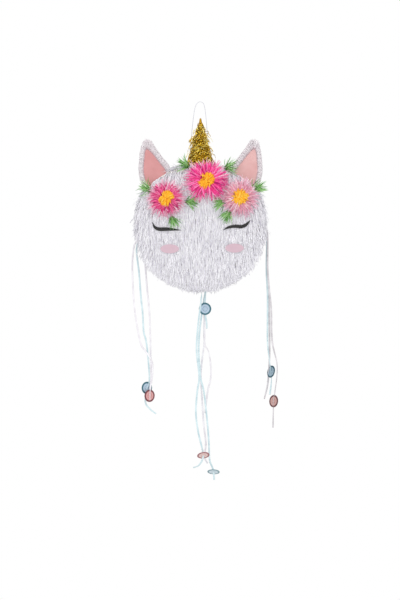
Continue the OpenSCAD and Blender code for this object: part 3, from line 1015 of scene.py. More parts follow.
        # Bearings go from the bottom, in degrees. The door's hinge edge and its gaps stay bare.
        bearing = np.degrees(np.arctan2(x, -z))
        low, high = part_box("trap_door")
        door = (x + d.centre.x > low.x) & (x + d.centre.x < high.x) & (y > low.y) & (y < high.y)
        door &= z < -0.8 * d.radius
        keep &= ~(door & (bearing < -19.5))
        keep &= door | ~((bearing > -30.5) & (bearing < 4.6) & (np.abs(y) < high.y + 5 * MM))
        for gap in RIBBON_GAPS:
            keep &= ~gap.holds(x, y, z)
        x, y, z, out, door = x[keep], y[keep], z[keep], out[keep], door[keep]
        n = len(x)
        down = np.stack([-out[:, 1], out[:, 0]], 1)
        down *= np.where(down[:, 1:2] > 0, -1, 1)
        flat = np.abs(down[:, 1]) < 0.15
        down[flat] *= np.where(rng.random(flat.sum()) < 0.5, -1, 1)[:, None]
        below = z < -30 * MM
        lift = rng.uniform(0.5, 1.3, n)
        wild = rng.random(n) < 0.05
        lift = np.where(wild, 2.0, lift)
        start = out * lift[:, None] + down * 0.55
        slope = down + out * rng.uniform(-0.05, 0.22, (n, 1))
        end = np.where(below[:, None], np.array([[0.0, -1.0]]) + out * 0.12, slope)
        # Strips rooted near the drum's corners lean out over them.
        edge_lean = np.clip((np.abs(y) - (d.back - 13 * MM)) / (13 * MM), 0, 1) * rng.uniform(0.1, 1, n)
        end = np.where(wild[:, None], end + 0.6 * out, end)
        high_up = np.clip((z - 90 * MM) / (50 * MM), 0, 1)
        wander = rng.normal(0, 0.14, n) + np.sign(y) * (0.55 + 1.3 * high_up) * edge_lean
        end[:, 1] -= 1.2 * high_up * edge_lean
        full = self.length * rng.uniform(0.7, 1.1, n) * np.where(z > 120 * MM, 0.75, 1.0)
        room = z - self.lower_edge(x + out[:, 0] * 13 * MM) + rng.gamma(1.5, 2.2 * MM, n) - 1 * MM
        length = np.where(z < 0, np.clip(np.minimum(full, room), 11 * MM, None), full)
        for gap in RIBBON_GAPS:
            length = gap.shortened(x, y, z, length)
        roots = d.place(x + out[:, 0] * 0.3 * MM, y, z + out[:, 1] * 0.3 * MM)
        grow_out = np.stack([start[:, 0], wander, start[:, 1]], 1)
        grow_fall = np.stack([end[:, 0], wander + rng.normal(0, 0.08, n), end[:, 1]], 1)
        facing = np.stack([out[:, 0], np.zeros(n), out[:, 1] + 0.15], 1)
        for name, pick, body, nodes in (
            ("rim_fringe_strips", ~door, "shell", ["side_fringe"]),
            ("door_fringe_strips", door, "trap_door", ["door_fringe"]),
        ):
            growth = Growth(roots[pick], grow_out[pick], grow_fall[pick], length[pick], facing[pick],
                            turn_at=0.55, sway=0.09, twist=0.45)
            self.lay(name, growth, rng, body, nodes, within_depth=True)

    def build_edges(self) -> None:
        """Lays strips rooted on the drum's two corners, which cover the tape and fall over the faces."""
        rng = np.random.default_rng(14)
        d = self.drum
        spots, outs = d.rim_line(self.edge_pitch)
        rear = spots[:, 1] > self.edge_bottom
        front = rear & (abs(spots[:, 0]) < self.between_ears)
        p, out = np.concatenate([spots[front], spots[rear]]), np.concatenate([outs[front], outs[rear]])
        n = len(p)
        sign = np.repeat([-1.0, 1.0], [front.sum(), rear.sum()])
        y = sign * (d.back - rng.uniform(0, 2.5, n) * MM)
        roots = d.place(p[:, 0] + out[:, 0] * 0.4 * MM, y, p[:, 1] + out[:, 1] * 0.4 * MM)
        lift, over = rng.uniform(0.2, 0.6, n), sign * rng.uniform(0.2, 0.8, n)
        start = np.stack([out[:, 0] * lift + rng.normal(0, 0.15, n), over, out[:, 1] * lift], 1)
        fall = np.stack([0.15 * out[:, 0] + rng.normal(0, 0.12, n), 0.1 * over, np.full(n, -1.0)], 1)
        facing = np.stack([0.6 * out[:, 0], sign, 0.6 * out[:, 1]], 1)
        growth = Growth(roots, start, fall, rng.uniform(13, 25, n) * MM, facing,
                        turn_at=0.5, sway=0.09, twist=0.3)
        self.lay("edge_fringe_strips", growth, rng, "shell", within_depth=True)


@dataclass
class Horn:
    """The card horn, wound with gold tinsel."""

    paint: Paint
    foot: Vector | None = None
    radius: float = 0.0
    height: float = 0.0
    strips: int = 2000
    pile: float = 14 * MM
    strays: int = 140
    tuft_strays: int = 26

    def __post_init__(self) -> None:
        """Reads the cone's place from the frame."""
        low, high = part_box("horn_cone")
        self.foot = Vector(((low.x + high.x) / 2, (low.y + high.y) / 2, low.z))
        self.radius = (high.x - low.x) / 2
        self.height = high.z - low.z

    def build(self) -> None:
        """Lays curls of foil all over the cone."""
        rng = np.random.default_rng(21)
        n = self.strips
        up = 1 - np.sqrt(rng.uniform(0.0004, 1, n))
        up = np.where(rng.random(n) < 0.06, rng.uniform(0.75, 0.9, n), up) * 0.93
        angle = rng.uniform(0, math.tau, n)
        r = self.radius * (1 - up) + 0.6 * MM
        out = np.stack([np.cos(angle), np.sin(angle), np.full(n, 0.18)], 1)
        roots = np.array(self.foot) + np.stack([r * np.cos(angle), r * np.sin(angle), up * self.height], 1)
        roots[:, 2] = np.maximum(roots[:, 2], self.foot.z + 2 * MM)
        tangent = np.stack([-np.sin(angle), np.cos(angle), np.zeros(n)], 1)
        lean = rng.normal(0, 1.6, n)
        ahead = tangent * np.sign(rng.normal(0, 1, n))[:, None]
        ahead = ahead + np.stack([np.zeros(n), np.zeros(n), lean], 1)
        length = rng.uniform(12, 28, n) * MM * (0.35 + 0.65 * (1 - up))
        rise = ahead + out * rng.uniform(0.1, 0.9, (n, 1))
        fall = ahead * 0.4 - out * rng.uniform(0.1, 0.9, (n, 1))
        growth = Growth(roots, rise, fall, length, out, turn_at=0.9, sway=0.5, twist=0.9)
        pattern = StripPattern(7)
        lines, facing = growth.grown(7, rng)
        near = self.clear_of_cone(lines, rng.beta(1.6, 1.2, n))
        width = rng.uniform(1.3, 2.7, n) * MM
        curls = pattern.lay("horn_tinsel_curls", near, facing, width, rng.uniform(0, 1, n), 0.2 * MM)
        moved_with(curls, "shell", self.paint.gold, ["horn_tinsel"])
        self.build_strays(rng)

    def clear_of_cone(self, lines: Array, stand: Array) -> Array:
        """Keeps curls outside the cone and near it.

        Args:
            lines: the curls' lines.
            stand: from 0 to 1, how far each curl lies out in the winding.
        Returns:
            The lines, pushed out of the card and drawn in to the winding's thickness.
        """
        foot = np.array(self.foot)
        rel = lines - foot
        level = np.clip(rel[..., 2] / self.height, 0, 1)
        skin = self.radius * (1 - level) + 0.5 * MM
        reach = np.hypot(rel[..., 0], rel[..., 1])
        taper = np.maximum(1 - level, 0.0) ** 0.8
        raised = reach + 0.8 * self.pile * taper * stand[:, None]
        wanted = np.clip(raised, skin, skin + self.pile * (taper + 0.08))
        scale = wanted / np.maximum(reach, 1e-6)
        moved = rel.copy()
        moved[..., 0] *= scale
        moved[..., 1] *= scale
        moved[..., 2] = np.clip(rel[..., 2], 0.5 * MM, self.height + 2 * MM)
        return moved + foot

    def build_strays(self, rng: np.random.Generator) -> None:
        """Lays the long loose ends that hang off the winding, many of them in one tuft at its side.

        Args:
            rng: the source of chance.
        """
        n, tuft = self.strays, self.tuft_strays
        up = np.concatenate([rng.uniform(0.02, 0.85, n - tuft), rng.normal(0.56, 0.04, tuft)])
        angle = np.concatenate([rng.uniform(0, math.tau, n - tuft), rng.normal(math.pi, 0.35, tuft)])
        r = self.radius * (1 - up) + 2 * MM + 0.5 * self.pile * (1 - up)
        out = np.stack([np.cos(angle), np.sin(angle), np.zeros(n)], 1)
        roots = np.array(self.foot) + np.stack([r * np.cos(angle), r * np.sin(angle), up * self.height], 1)
        fall = out * rng.uniform(0.1, 0.5, (n, 1)) + np.array([0, 0, -1.0])
        rise = out + np.stack([np.zeros(n), np.zeros(n), rng.normal(-0.1, 0.5, n)], 1)
        room = roots[:, 2] - self.foot.z
        length = np.minimum(rng.uniform(12, 28, n) * MM, room + 7 * MM)
        pattern = StripPattern(6)
        lines, facing = Growth(roots, rise, fall, length, out, 0.8, 0.3, 0.8).grown(6, rng)
        width = rng.uniform(1.2, 2.2, n) * MM
        strays = pattern.lay("horn_tinsel_strays", lines, facing, width, rng.uniform(0.3, 1, n), 0.2 * MM)
        moved_with(strays, "shell", self.paint.gold)


@dataclass
class Ear:
    """One ear: fringe round the pink panel at the front and all over the back."""

    side: str
    paint: Paint
    edge_width: float = 14 * MM
    tip_extra: float = 14 * MM

    def edge_loop(self, node: str, spacing: float) -> tuple[Array, Array]:
        """Reads the outline of a flat node, evenly spaced.

        Args:
            node: the flat node's name.
            spacing: distance between two points.
        Returns:
            Points and outward directions in X and Z, both n by 2.
        """
        co = np.array([v.co for v in bpy.data.objects[node].data.vertices])
        front = co[np.abs(co[:, 1] - co[:, 1].min()) < 0.05 * MM][:, [0, 2]]
        middle = front.mean(0)
        places = np.unique(np.round(front, 6), axis=0)
        order = np.argsort(np.arctan2(places[:, 1] - middle[1], places[:, 0] - middle[0]))
        ring = places[order]
        closed = np.vstack([ring, ring[:1]])
        run = np.concatenate([[0], np.cumsum(np.linalg.norm(np.diff(closed, axis=0), axis=1))])
        at = np.arange(0, run[-1], spacing)
        points = np.stack([np.interp(at, run, closed[:, i]) for i in (0, 1)], 1)
        ahead = unit(np.roll(points, -12, 0) - np.roll(points, 12, 0))
        return points, np.stack([ahead[:, 1], -ahead[:, 0]], 1)

    def build(self) -> None:
        """Lays the ear's strips: three rings of them round the panel, then the back."""
        rng = np.random.default_rng(31 if self.side == "left" else 32)
        pattern = StripPattern(4)
        node = f"ear_inner_{self.side}"
        low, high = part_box(f"ear_card_{self.side}")
        base_z = low.z + 0.32 * (high.z - low.z)
        points, out = self.edge_loop(node, 0.45 * MM)
        border = self.border(out)
        parts, tones = [], []
        # Each ring: its distance from the panel in millimetres, its y, its lean, and its tones. The back
        # ring's darker tones are painted shade at the border's outer edge, where the strip ends curl back.
        for shift, y, lean, dark, light in (
            (0.2, low.y - 0.9 * MM, -0.2, 0.6, 1.0),
            (3.0, low.y - 0.5 * MM, -0.1, 0.45, 0.8),
            (5.0, high.y - 1 * MM, 0.08, 0.1, 0.35),
        ):
            n = len(points)
            roots2 = points + out * (shift * MM + rng.uniform(-0.5, 0.5, (n, 1)) * MM)
            roots = np.stack([roots2[:, 0], np.full(n, y) + rng.normal(0, 0.3 * MM, n), roots2[:, 1]], 1)
            ahead = np.stack([out[:, 0], np.full(n, lean), out[:, 1]], 1) + rng.normal(0, 0.1, (n, 3))
            fall = np.stack([out[:, 0], rng.normal(0.05, 0.15, n), out[:, 1] - 0.3], 1)
            keep = roots[:, 2] > base_z - 20 * MM
            size = np.clip(border - shift * MM, 6 * MM, None) * rng.uniform(0.92, 1.08, n)
            tones.append(rng.uniform(dark, light, keep.sum()))
            facing = np.tile([0, -1.0, 0], (keep.sum(), 1))
            parts.append((roots[keep], ahead[keep], fall[keep], size[keep], facing))
        roots, ahead, fall, length, facing = (np.concatenate(p) for p in zip(*parts))
        lines, faces = Growth(roots, ahead, fall, length, facing, 1.0, 0.05, 0.15).grown(4, rng)
        n = len(roots)
        width = rng.uniform(1.8, 3.2, n) * MM
        name = f"ear_fringe_strips_{self.side}"
        strips = pattern.lay(name, lines, faces, width, np.concatenate(tones), 0.15 * MM)
        moved_with(strips, "shell", self.paint.ear_film, [f"ear_fringe_{self.side}"])
        self.build_back(low, high, points, rng)

    def build_back(self, low: Vector, high: Vector, ring: Array, rng: np.random.Generator) -> None:
        """Covers the ear's back with strips that hang down.

        Args:
            low, high: lowest and highest corner of the ear's card.
            ring: the pink panel's outline.
            rng: the source of chance.
        """
        xs, zs = self.back_roots(low, high, ring, rng)
        n = len(xs)
        growth = Growth(
            np.stack([xs, np.full(n, high.y + 0.3 * MM), zs], 1),
            np.stack([rng.normal(0, 0.15, n), np.full(n, 0.7), np.full(n, -0.5)], 1),
            np.stack([rng.normal(0, 0.12, n), rng.normal(0.02, 0.05, n), np.full(n, -1.0)], 1),
            rng.uniform(14, 25, n) * MM,
            np.tile([0, 1.0, 0.2], (n, 1)),
            turn_at=0.6, sway=0.08, twist=0.24)
        lines, faces = growth.grown(4, rng)
        width = rng.uniform(1.8, 3.0, n) * MM
        tones = 0.2 + 0.8 * rng.beta(2.2, 1.6, n)
        name = f"ear_back_strips_{self.side}"
        strips = StripPattern(4).lay(name, lines, faces, width, tones, 0.35 * MM)
        moved_with(strips, "shell", self.paint.white_film)

    def border(self, out: Array) -> Array:
        """Works out how far the ear's fringe reaches beyond the panel: more above its tip.

        Args:
            out: the outward direction at each root.
        Returns:
            The border's width at each root.
        """
        return self.edge_width + self.tip_extra * np.clip(out[:, 1], 0, 1) ** 4

    def back_roots(self, low: Vector, high: Vector, ring: Array,
                   rng: np.random.Generator) -> tuple[Array, Array]:
        """Spreads roots over the ear's back, inside its outline.

        Args:
            low, high: lowest and highest corner of the ear's card.
            ring: the pink panel's outline.
            rng: the source of chance.
        Returns:
            Their x and z.
        """
        middle = ring.mean(0)
        grown = middle + (ring - middle) * 1.3
        xs, zs = np.meshgrid(np.arange(low.x, high.x, 2.3 * MM), np.arange(low.z, high.z, 4 * MM))
        xs = xs.ravel() + rng.uniform(-1.2, 1.2, xs.size) * MM
        zs = zs.ravel() + rng.uniform(-2, 2, zs.size) * MM
        inside = np.zeros(len(xs), bool)
        ax, az = grown[:, 0], grown[:, 1]
        bx, bz = np.roll(ax, -1), np.roll(az, -1)
        for i in range(len(ax)):
            crosses = (az[i] > zs) != (bz[i] > zs)
            at = ax[i] + (zs - az[i]) / (bz[i] - az[i] + 1e-12) * (bx[i] - ax[i])
            inside ^= crosses & (xs < at)
        return xs[inside], zs[inside]


class Bloom(Enum):
    """The colourings of a flower's inner petals: the record's slot, and the finish in Paint."""

    DEEP = ("deep_pink_film", "deep_pink")
    MAGENTA = ("deep_pink_film", "magenta")
    PALE = ("pale_pink_film", "blush_film")


@dataclass
class Flower:
    """A fringed flower: pale outer petals, inner petals and a yellow centre, all of cut film."""

    place: str
    bloom: Bloom
    paint: Paint
    seed: int
    outer_reach: float = 60 * MM
    inner_reach: float = 47 * MM
    notch: float | None = None
    stretch: float = 1.0
    comb: float = math.radians(52)
    comb_spread: float = 0.5
    mop_reach: float = 19 * MM
    mop_strips: int = 150
    mop_tones: tuple[float, float] = (0.3, 1.0)

    def __post_init__(self) -> None:
        """Reads the flower's place from the frame."""
        low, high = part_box(f"petals_outer_{self.place}")
        self.base = Vector(((low.x + high.x) / 2, high.y, (low.z + high.z) / 2))

    def ray(self, angle: Array, radial: float | Array, depth: float | Array) -> Array:
        """Gives directions that point away from the flower's axis and out of its face.

        Args:
            angle: the turn round the axis.
            radial: the share that points away from the axis.
            depth: the share that points out of the face.
        Returns:
            Directions, n by 3.
        """
        n = len(angle)
        r = np.broadcast_to(radial, n)
        return np.stack([np.cos(angle) * r, -np.broadcast_to(depth, n), np.sin(angle) * r], 1)

    def petals(self, name: str, rng: np.random.Generator,
               layers: Sequence[tuple[int, float, float, float, float]],
               tone: tuple[float, float], width: tuple[float, float]) -> bpy.types.Object:
        """Lays rings of petal strips.

        Args:
            name: the piece's name.
            rng: the source of chance.
            layers: for each ring its count, root radius, length, height and slope.
            tone: lowest and highest tone.
            width: narrowest and widest strip.
        Returns:
            The piece.
        """
        pattern = StripPattern(5, StripKind.SQUARE)
        parts = []
        for count, root, length, height, slope in layers:
            angle = np.linspace(0, math.tau, count, endpoint=False) + rng.normal(0, 0.07, count)
            size = length * rng.uniform(0.78, 1.12, count)
            if self.notch is not None:
                # The petals part at the notch, and those on both sides of it are longer.
                off = np.abs((angle - self.notch + math.pi) % math.tau - math.pi)
                beside = (off > 0.35) & (off < 0.9)
                size = size * np.where(off < 0.28, 0.55, 1.0) * np.where(beside, 1.12, 1.0)
            size = size * (1 + (self.stretch - 1) * np.abs(np.cos(angle)))
            roots = np.array(self.base) + self.ray(angle, root, height) + rng.normal(0, 0.9 * MM, (count, 3))
            out = self.ray(angle, 1.0, slope) + rng.normal(0, 0.2, (count, 3))
            fall = self.ray(angle, 1.0, slope - 0.9) + np.array([0, 0, -0.12])
            fall = fall + rng.normal(0, 0.36, (count, 3))
            parts.append((roots, out, fall, size, self.ray(angle, -0.25, 1.0)))
        roots, out, fall, length, facing = (np.concatenate(p) for p in zip(*parts))
        lines, faces = Growth(roots, out, fall, length, facing, 1.0, 0.1, 0.45).grown(5, rng)
        n = len(roots)
        return pattern.lay(name, lines, faces, rng.uniform(*width, n), rng.uniform(*tone, n), 0.6 * MM)

    def mop(self, name: str, rng: np.random.Generator, height: float) -> bpy.types.Object:
        """Lays the centre: a mop of broad strips that lie mostly one way.

        Args:
            name: the piece's name.
            rng: the source of chance.
            height: how far in front of the flower's base it is rooted.
        Returns:
            The piece.
        """
        pattern = StripPattern(6)
        n = self.mop_strips
        r = self.mop_reach * 0.62 * rng.uniform(0, 1, n) ** 0.7
        a = rng.uniform(0, math.tau, n)
        dome = 5 * MM * (1 - (r / self.mop_reach) ** 2)
        roots = np.array(self.base) + np.stack([r * np.cos(a), -(height + dome), r * np.sin(a)], 1)
        comb = self.comb + rng.normal(0, self.comb_spread, n) + np.where(rng.random(n) < 0.5, math.pi, 0)
        # Strips near the edge fall outwards, so that the mop ends in a round outline.
        along = np.where((np.cos(a - comb) < -0.2) & (r > 0.35 * self.mop_reach), comb + math.pi, comb)
        ray = np.stack([np.cos(along), np.zeros(n), np.sin(along)], 1)
        out = ray + np.array([0, -1.0, 0]) * rng.uniform(0.15, 0.6, (n, 1))
        fall = ray + np.array([0, 0.7, -0.1])
        length = rng.uniform(0.55, 0.95, n) * self.mop_reach
        facing = np.tile([0, -1.0, 0.0], (n, 1)) + 0.4 * ray
        lines, faces = Growth(roots, out, fall, length, facing, 0.9, 0.12, 0.35).grown(6, rng)
        width = rng.uniform(2.2, 3.8, n) * MM
        return pattern.lay(name, lines, faces, width, rng.uniform(*self.mop_tones, n), 0.9 * MM)

    def build(self) -> None:
        """Makes the flower's three pieces."""
        rng = np.random.default_rng(self.seed)
        depth = 8 * MM
        outer = self.petals(f"outer_petals_{self.place}", rng, (
            (190, 12 * MM, self.outer_reach - 12 * MM, 1.5 * MM, 0.10),
            (180, 12 * MM, self.outer_reach - 17 * MM, 4 * MM, 0.25),
        ), (0.2, 1.0), (1.2 * MM, 2.4 * MM))
        moved_with(outer, "shell", self.paint.pale_pink, [f"petals_outer_{self.place}"])
        inner = self.petals(f"inner_petals_{self.place}", rng, (
            (180, 11 * MM, self.inner_reach - 11 * MM, depth, 0.2),
            (160, 12 * MM, self.inner_reach - 16 * MM, depth + 2 * MM, 0.38),
            (130, 13 * MM, self.inner_reach - 23 * MM, depth + 3 * MM, 0.55),
        ), (0.0, 1.0), (1.5 * MM, 2.7 * MM))
        slot, film = self.bloom.value
        moved_with(inner, "shell", getattr(self.paint, film), [f"petals_inner_{self.place}"])
        eye = self.mop(f"yellow_centre_{self.place}", rng, depth + 6 * MM)
        moved_with(eye, "shell", self.paint.yellow, [f"flower_eye_{self.place}"])


@dataclass
class Leaves:
    """Tufts of green film tucked under the flowers."""

    paint: Paint
    strips: int = 56

    def tufts(self) -> list[tuple[Vector, float]]:
        """Finds where each tuft is and the way that it points, from the flower nearest to it.

        Returns:
            The middle and the angle of each tuft.
        """
        mesh = bpy.data.objects["leaf_tufts"].data
        co = np.array([v.co for v in mesh.vertices])
        spots: list[list[Array]] = []
        for p in co:
            near = next((s for s in spots if np.linalg.norm(s[0] - p) < 32 * MM), None)
            if near is None:
                spots.append([p])
            else:
                near.append(p)
        flowers = [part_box(f"petals_outer_{s}") for s in ("left", "centre", "right")]
        middles = [(a + b) / 2 for a, b in flowers]
        found = []
        for group in spots:
            pts = np.array(group)
            middle = Vector((pts.min(0) + pts.max(0)) / 2)
            home = min(middles, key=lambda m: (m - middle).length)
            found.append((middle, math.atan2(middle.z - home.z, middle.x - home.x)))
        return found

    def build(self) -> None:
        """Lays the strips of every tuft as one piece."""
        rng = np.random.default_rng(41)
        pattern = StripPattern(5, StripKind.POINTED)
        parts = []
        for middle, angle in self.tufts():
            n = self.strips
            turn = angle + rng.normal(0, 0.42, n)
            ray = np.stack([np.cos(turn), np.zeros(n), np.sin(turn)], 1)
            heel = np.array([math.cos(angle), 0, math.sin(angle)]) * 13 * MM
            roots = np.array(middle) - heel + rng.normal(0, 2.2 * MM, (n, 3)) * np.array([1, 0.3, 1])
            lift = np.stack([np.zeros(n), -rng.uniform(0.1, 0.7, n), np.zeros(n)], 1)
            fall = ray + np.array([0, 0.15, -0.25])
            size = rng.uniform(18, 42, n) * MM
            parts.append((roots, ray + lift, fall, size, np.tile([0, -1.0, 0], (n, 1))))
        roots, out, fall, length, facing = (np.concatenate(p) for p in zip(*parts))
        lines, faces = Growth(roots, out, fall, length, facing, 1.0, 0.15, 0.5).grown(5, rng)
        n = len(roots)
        width = rng.uniform(1.0, 2.0, n) * MM
        leaves = pattern.lay("leaf_strips", lines, faces, width, rng.beta(1.2, 1.5, n), 0.5 * MM)
        moved_with(leaves, "shell", self.paint.green, ["leaf_tufts"])


# ---------------------------------------------------------------------------------------------
# Ribbons, tags and thread
# ---------------------------------------------------------------------------------------------


def blend_of(a: Array, b: Array, c: Array, d: Array, t: float) -> Array:
    """Gives one place on the smooth line through a, b, c and d, at the share t of the way from b to c."""
    return 0.5 * (2 * b + (c - a) * t + (2 * a - 5 * b + 4 * c - d) * t**2 + (3 * b - a - 3 * c + d) * t**3)


def smooth_route(route: Sequence[Sequence[float]], step: float) -> Array:
    """Draws a smooth line through a route's points.

    Args:
        route: points, whose first three numbers are a place in millimetres.
        step: the greatest distance between two places, in millimetres.
    Returns:
        The line's points, with whatever else the route gives, blended alike.
    """
    r = np.array(route, float)
    made = []
    for i in range(len(r) - 1):
        n = max(1, round(float(np.linalg.norm(r[i + 1, :3] - r[i, :3])) / step))
        a, d = r[max(i - 1, 0)], r[min(i + 2, len(r) - 1)]
        made += [blend_of(a, r[i], r[i + 1], d, k / n) for k in range(n)]
    made.append(r[-1])
    return np.array(made)


def sweep(name: str, path: Array, side: Array, section: Array) -> bpy.types.Object:
    """Sweeps a closed section along a path.

    Args:
        name: the piece's name.
        path: points, n by 3.
        side: the section's own first direction at each point, n by 3.
        section: the section's points at each place, n by m by 2, counted from side towards the face.
    Returns:
        The closed tube, with across and along stored.
    """
    ahead = unit(np.gradient(path, axis=0))
    side = unit(side - ahead * np.sum(side * ahead, 1, keepdims=True))
    face = np.cross(ahead, side)
    n, m = section.shape[:2]
    points = path[:, None] + side[:, None] * section[..., :1] + face[:, None] * section[..., 1:]
    i, k = np.meshgrid(np.arange(n - 1), np.arange(m), indexing="ij")
    a, b = i * m + k, i * m + (k + 1) % m
    quads = np.stack([a, b, b + m, a + m], -1).reshape(-1, 4)
    first, last = n * m, n * m + 1
    ring = np.arange(m)
    tris = np.concatenate([
        np.stack([np.full(m, first), (ring + 1) % m, ring], 1),
        np.stack([np.full(m, last), (n - 1) * m + ring, (n - 1) * m + (ring + 1) % m], 1),
    ])
    verts = np.vstack([points.reshape(-1, 3), path[:1], path[-1:]])
    obj = mesh_object(name, verts, quads, tris)
    run = np.concatenate([[0], np.cumsum(np.linalg.norm(np.diff(path, axis=0), axis=1))])
    reach = np.abs(section[..., 0]).max()
    set_values(obj, "across", np.concatenate([(section[..., 0] / reach).ravel(), [0, 0]]))
    set_values(obj, "along", np.concatenate([np.repeat(run, m), [0, run[-1]]]))
    for face_ in obj.data.polygons:
        face_.use_smooth = True
    return obj


class RibbonTint(Enum):
    """The ribbons' colours: the record's slot, and the finish in Paint."""

    AQUA = ("aqua_ribbon", "aqua_ribbon")
    WHITE = ("white_ribbon", "white_ribbon")
    # Painted shade: the right-hand white ribbons take a darker grey finish.
    PAINTED_SHADE_WHITE = ("white_ribbon", "silver_ribbon")


@dataclass(frozen=True)
class Hanging:
    """One ribbon: its node, its route in the head's frame, its body and its colour."""

    node: str
    body: str
    tint: RibbonTint
    route: tuple[tuple[float, float, float, float], ...]


# Each route repeats the frame's own: x, y and z in millimetres from the head's centre, and the
# degrees that the ribbon is turned about its length.
RIBBONS = (
    Hanging("pull_ribbon", "pull_ribbon", RibbonTint.AQUA, (
        (4, -16, -172, 90), (4, -16, -182, 90), (1, -16, -214, 10), (-5, -16, -260, 20), (-9, -16, -302, 0),
        (-11, -16, -351, -20), (-5, -16, -405, 0), (-4, -16, -432, 10), (-9, -16, -463, 0),
        (-13, -16, -522, -15), (-7, -16, -575, 0), (4, -16, -622, 0), (8, -16, -644, 0), (5, -17, -657, 0),
        (0, -19, -666, 20), (-8, -21, -674, 40), (-21, -22, -678, 40))),
    Hanging("ribbon_centre_1", "centre_ribbons", RibbonTint.AQUA, (
        (15, 6, -172, 0), (14, 6, -184, 0), (10, 6, -205, 0), (3, 6, -250, 15), (-3, 6, -302, 0),
        (-5, 6, -351, -15), (-2, 6, -400, 0), (0, 6, -427, 0), (9, 6, -463, 10), (15, 6, -511, 0),
        (21, 6, -570, -15), (24, 6, -617, 0), (26, 8, -660, 0), (34, 11, -682, 0), (37, 12, -694, 0),
        (38, 12, -704, 0), (39, 12, -717, 0))),
    Hanging("ribbon_centre_2", "centre_ribbons", RibbonTint.WHITE, (
        (15, 13, -172, 0), (14, 13, -184, 0), (11, 13, -210, 0), (11, 13, -250, 10), (11, 13, -323, 0),
        (5, 13, -374, -20), (1, 13, -423, 0), (4, 13, -486, 20), (9, 13, -559, 0), (15, 14, -612, 0),
        (12, 18, -652, 0), (20, 24, -671, 0))),
    Hanging("ribbon_centre_3", "centre_ribbons", RibbonTint.WHITE, (
        (15, 20, -172, 0), (14, 20, -184, 0), (12, 20, -230, 0), (11, 20, -323, 20), (23, 20, -354, 50),
        (29, 20, -391, 20), (29, 20, -430, -20), (21, 20, -463, 0), (13, 20, -528, 40))),
    Hanging("ribbon_centre_4", "centre_ribbons", RibbonTint.AQUA, (
        (15, -1, -172, 0), (14, -1, -184, 0), (13, -1, -200, 0), (13, -1, -231, 0), (14, -1, -252, 0),
        (17, -1, -270, 15), (18, -1, -287, 30))),
    Hanging("ribbon_left_1", "left_ribbons", RibbonTint.WHITE, (
        (-173, -6, -37, 0), (-180, -6, -41, 0), (-188, -6, -54, 0), (-193, -6, -105, 10),
        (-191, -6, -169, 0), (-185, -6, -242, -15), (-170, -6, -326, 0), (-155, -6, -351, 20),
        (-140, -6, -374, 30),
        (-135, -5, -396, 20), (-138, -4, -432, 0), (-143, -4, -460, -30), (-144, -4, -477, -38),
        (-144, -4, -490, -38))),
    Hanging("ribbon_left_2", "left_ribbons", RibbonTint.AQUA, (
        (-173, 2, -37, 0), (-178, 2, -46, 0), (-181, 2, -71, 0), (-174, 2, -130, -10), (-168, 2, -206, 0),
        (-164, 2, -242, 15), (-161, 2, -295, 0), (-155, 2, -318, 0), (-150, 2, -354, -10),
        (-145, 6, -430, -30), (-152, 3, -455, -36), (-156, 4, -480, -30), (-155, 4, -500, 0),
        (-141, 3, -517, 40), (-126, 2, -528, 40))),
    Hanging("ribbon_left_3", "left_ribbons", RibbonTint.WHITE, (
        (-170, 9, -42, 0), (-165, 9, -56, 0), (-159, 9, -85, 0), (-152, 9, -169, 10), (-145, 9, -242, 0),
        (-142, 9, -318, -10), (-141, 7, -370, 0), (-140, 3, -400, 0), (-140, 1, -426, 0), (-142, 1, -455, 0),
        (-143, 2, -472, 0))),
    Hanging("ribbon_right_1", "right_ribbons", RibbonTint.PAINTED_SHADE_WHITE, (
        (173, -6, 0, 0), (182, -6, -3, 0), (189, -6, -16, 0), (190, -6, -57, 0), (190, -6, -116, 10),
        (194, -6, -172, 0), (200, -6, -231, -15), (201, -6, -298, 0), (205, -6, -337, 20),
        (216, -6, -384, 50), (216, -6, -421, 50), (211, -6, -461, 50), (207, -6, -492, 50),
        (206, -6, -512, 50), (205, -6, -567, 30))),
    Hanging("ribbon_right_2", "right_ribbons", RibbonTint.AQUA, (
        (173, 3, 0, 0), (182, 3, -3, 0), (188, 3, -18, 0), (188, 3, -60, 0), (187, 3, -120, -10),
        (190, 3, -190, 0), (190, 3, -251, 15), (190, 3, -326, 30), (196, 3, -380, 58), (200, 3, -409, 58),
        (201, 3, -432, 58), (199, 3, -455, 20), (196, 3, -474, 0))),
    Hanging("ribbon_right_3", "right_ribbons", RibbonTint.PAINTED_SHADE_WHITE, (
        (173, 12, 0, 0), (182, 12, -3, 0), (190, 12, -20, 0), (189, 12, -60, 0), (189, 12, -120, 0),
        (194, 12, -200, 10), (196, 12, -300, 0), (196, 12, -360, 0), (194, 12, -409, 0), (190, 12, -450, 20),
        (181, 10, -487, 40))),
)


class TagCard(Enum):
    """The tags' cards: blue or pink, in lighter and darker copies; the darker copies are painted shade, for
    the right-hand tags, which face sideways.

    Each is the record's slot, then the colours of the card's face and of its printed ring.
    """

    BLUE = ("blue_tag", "AEC2D4", "2F6472")
    # Painted shade: a darker copy of the blue card.
    BLUE_IN_PAINTED_SHADE = ("blue_tag", "8CA2B0", "234E5C")
    PALE_BLUE = ("blue_tag", "C4D2DA", "76949C")
    PINK = ("pink_tag", "D29A98", "6E3038")
    # Painted shade: a darker copy of the pink card.
    DEEP_PINK = ("pink_tag", "BE9690", "5E2E30")
    PALE_PINK = ("pink_tag", "E0C2BC", "9A6468")


@dataclass(frozen=True)
class Tag:
    """One round tag: its node, body, colour, ribbon, place and tilts about X, Z and Y in degrees."""

    node: str
    body: str
    card: TagCard
    ribbon: str
    place: tuple[float, float, float]
    tilt: tuple[float, float, float]


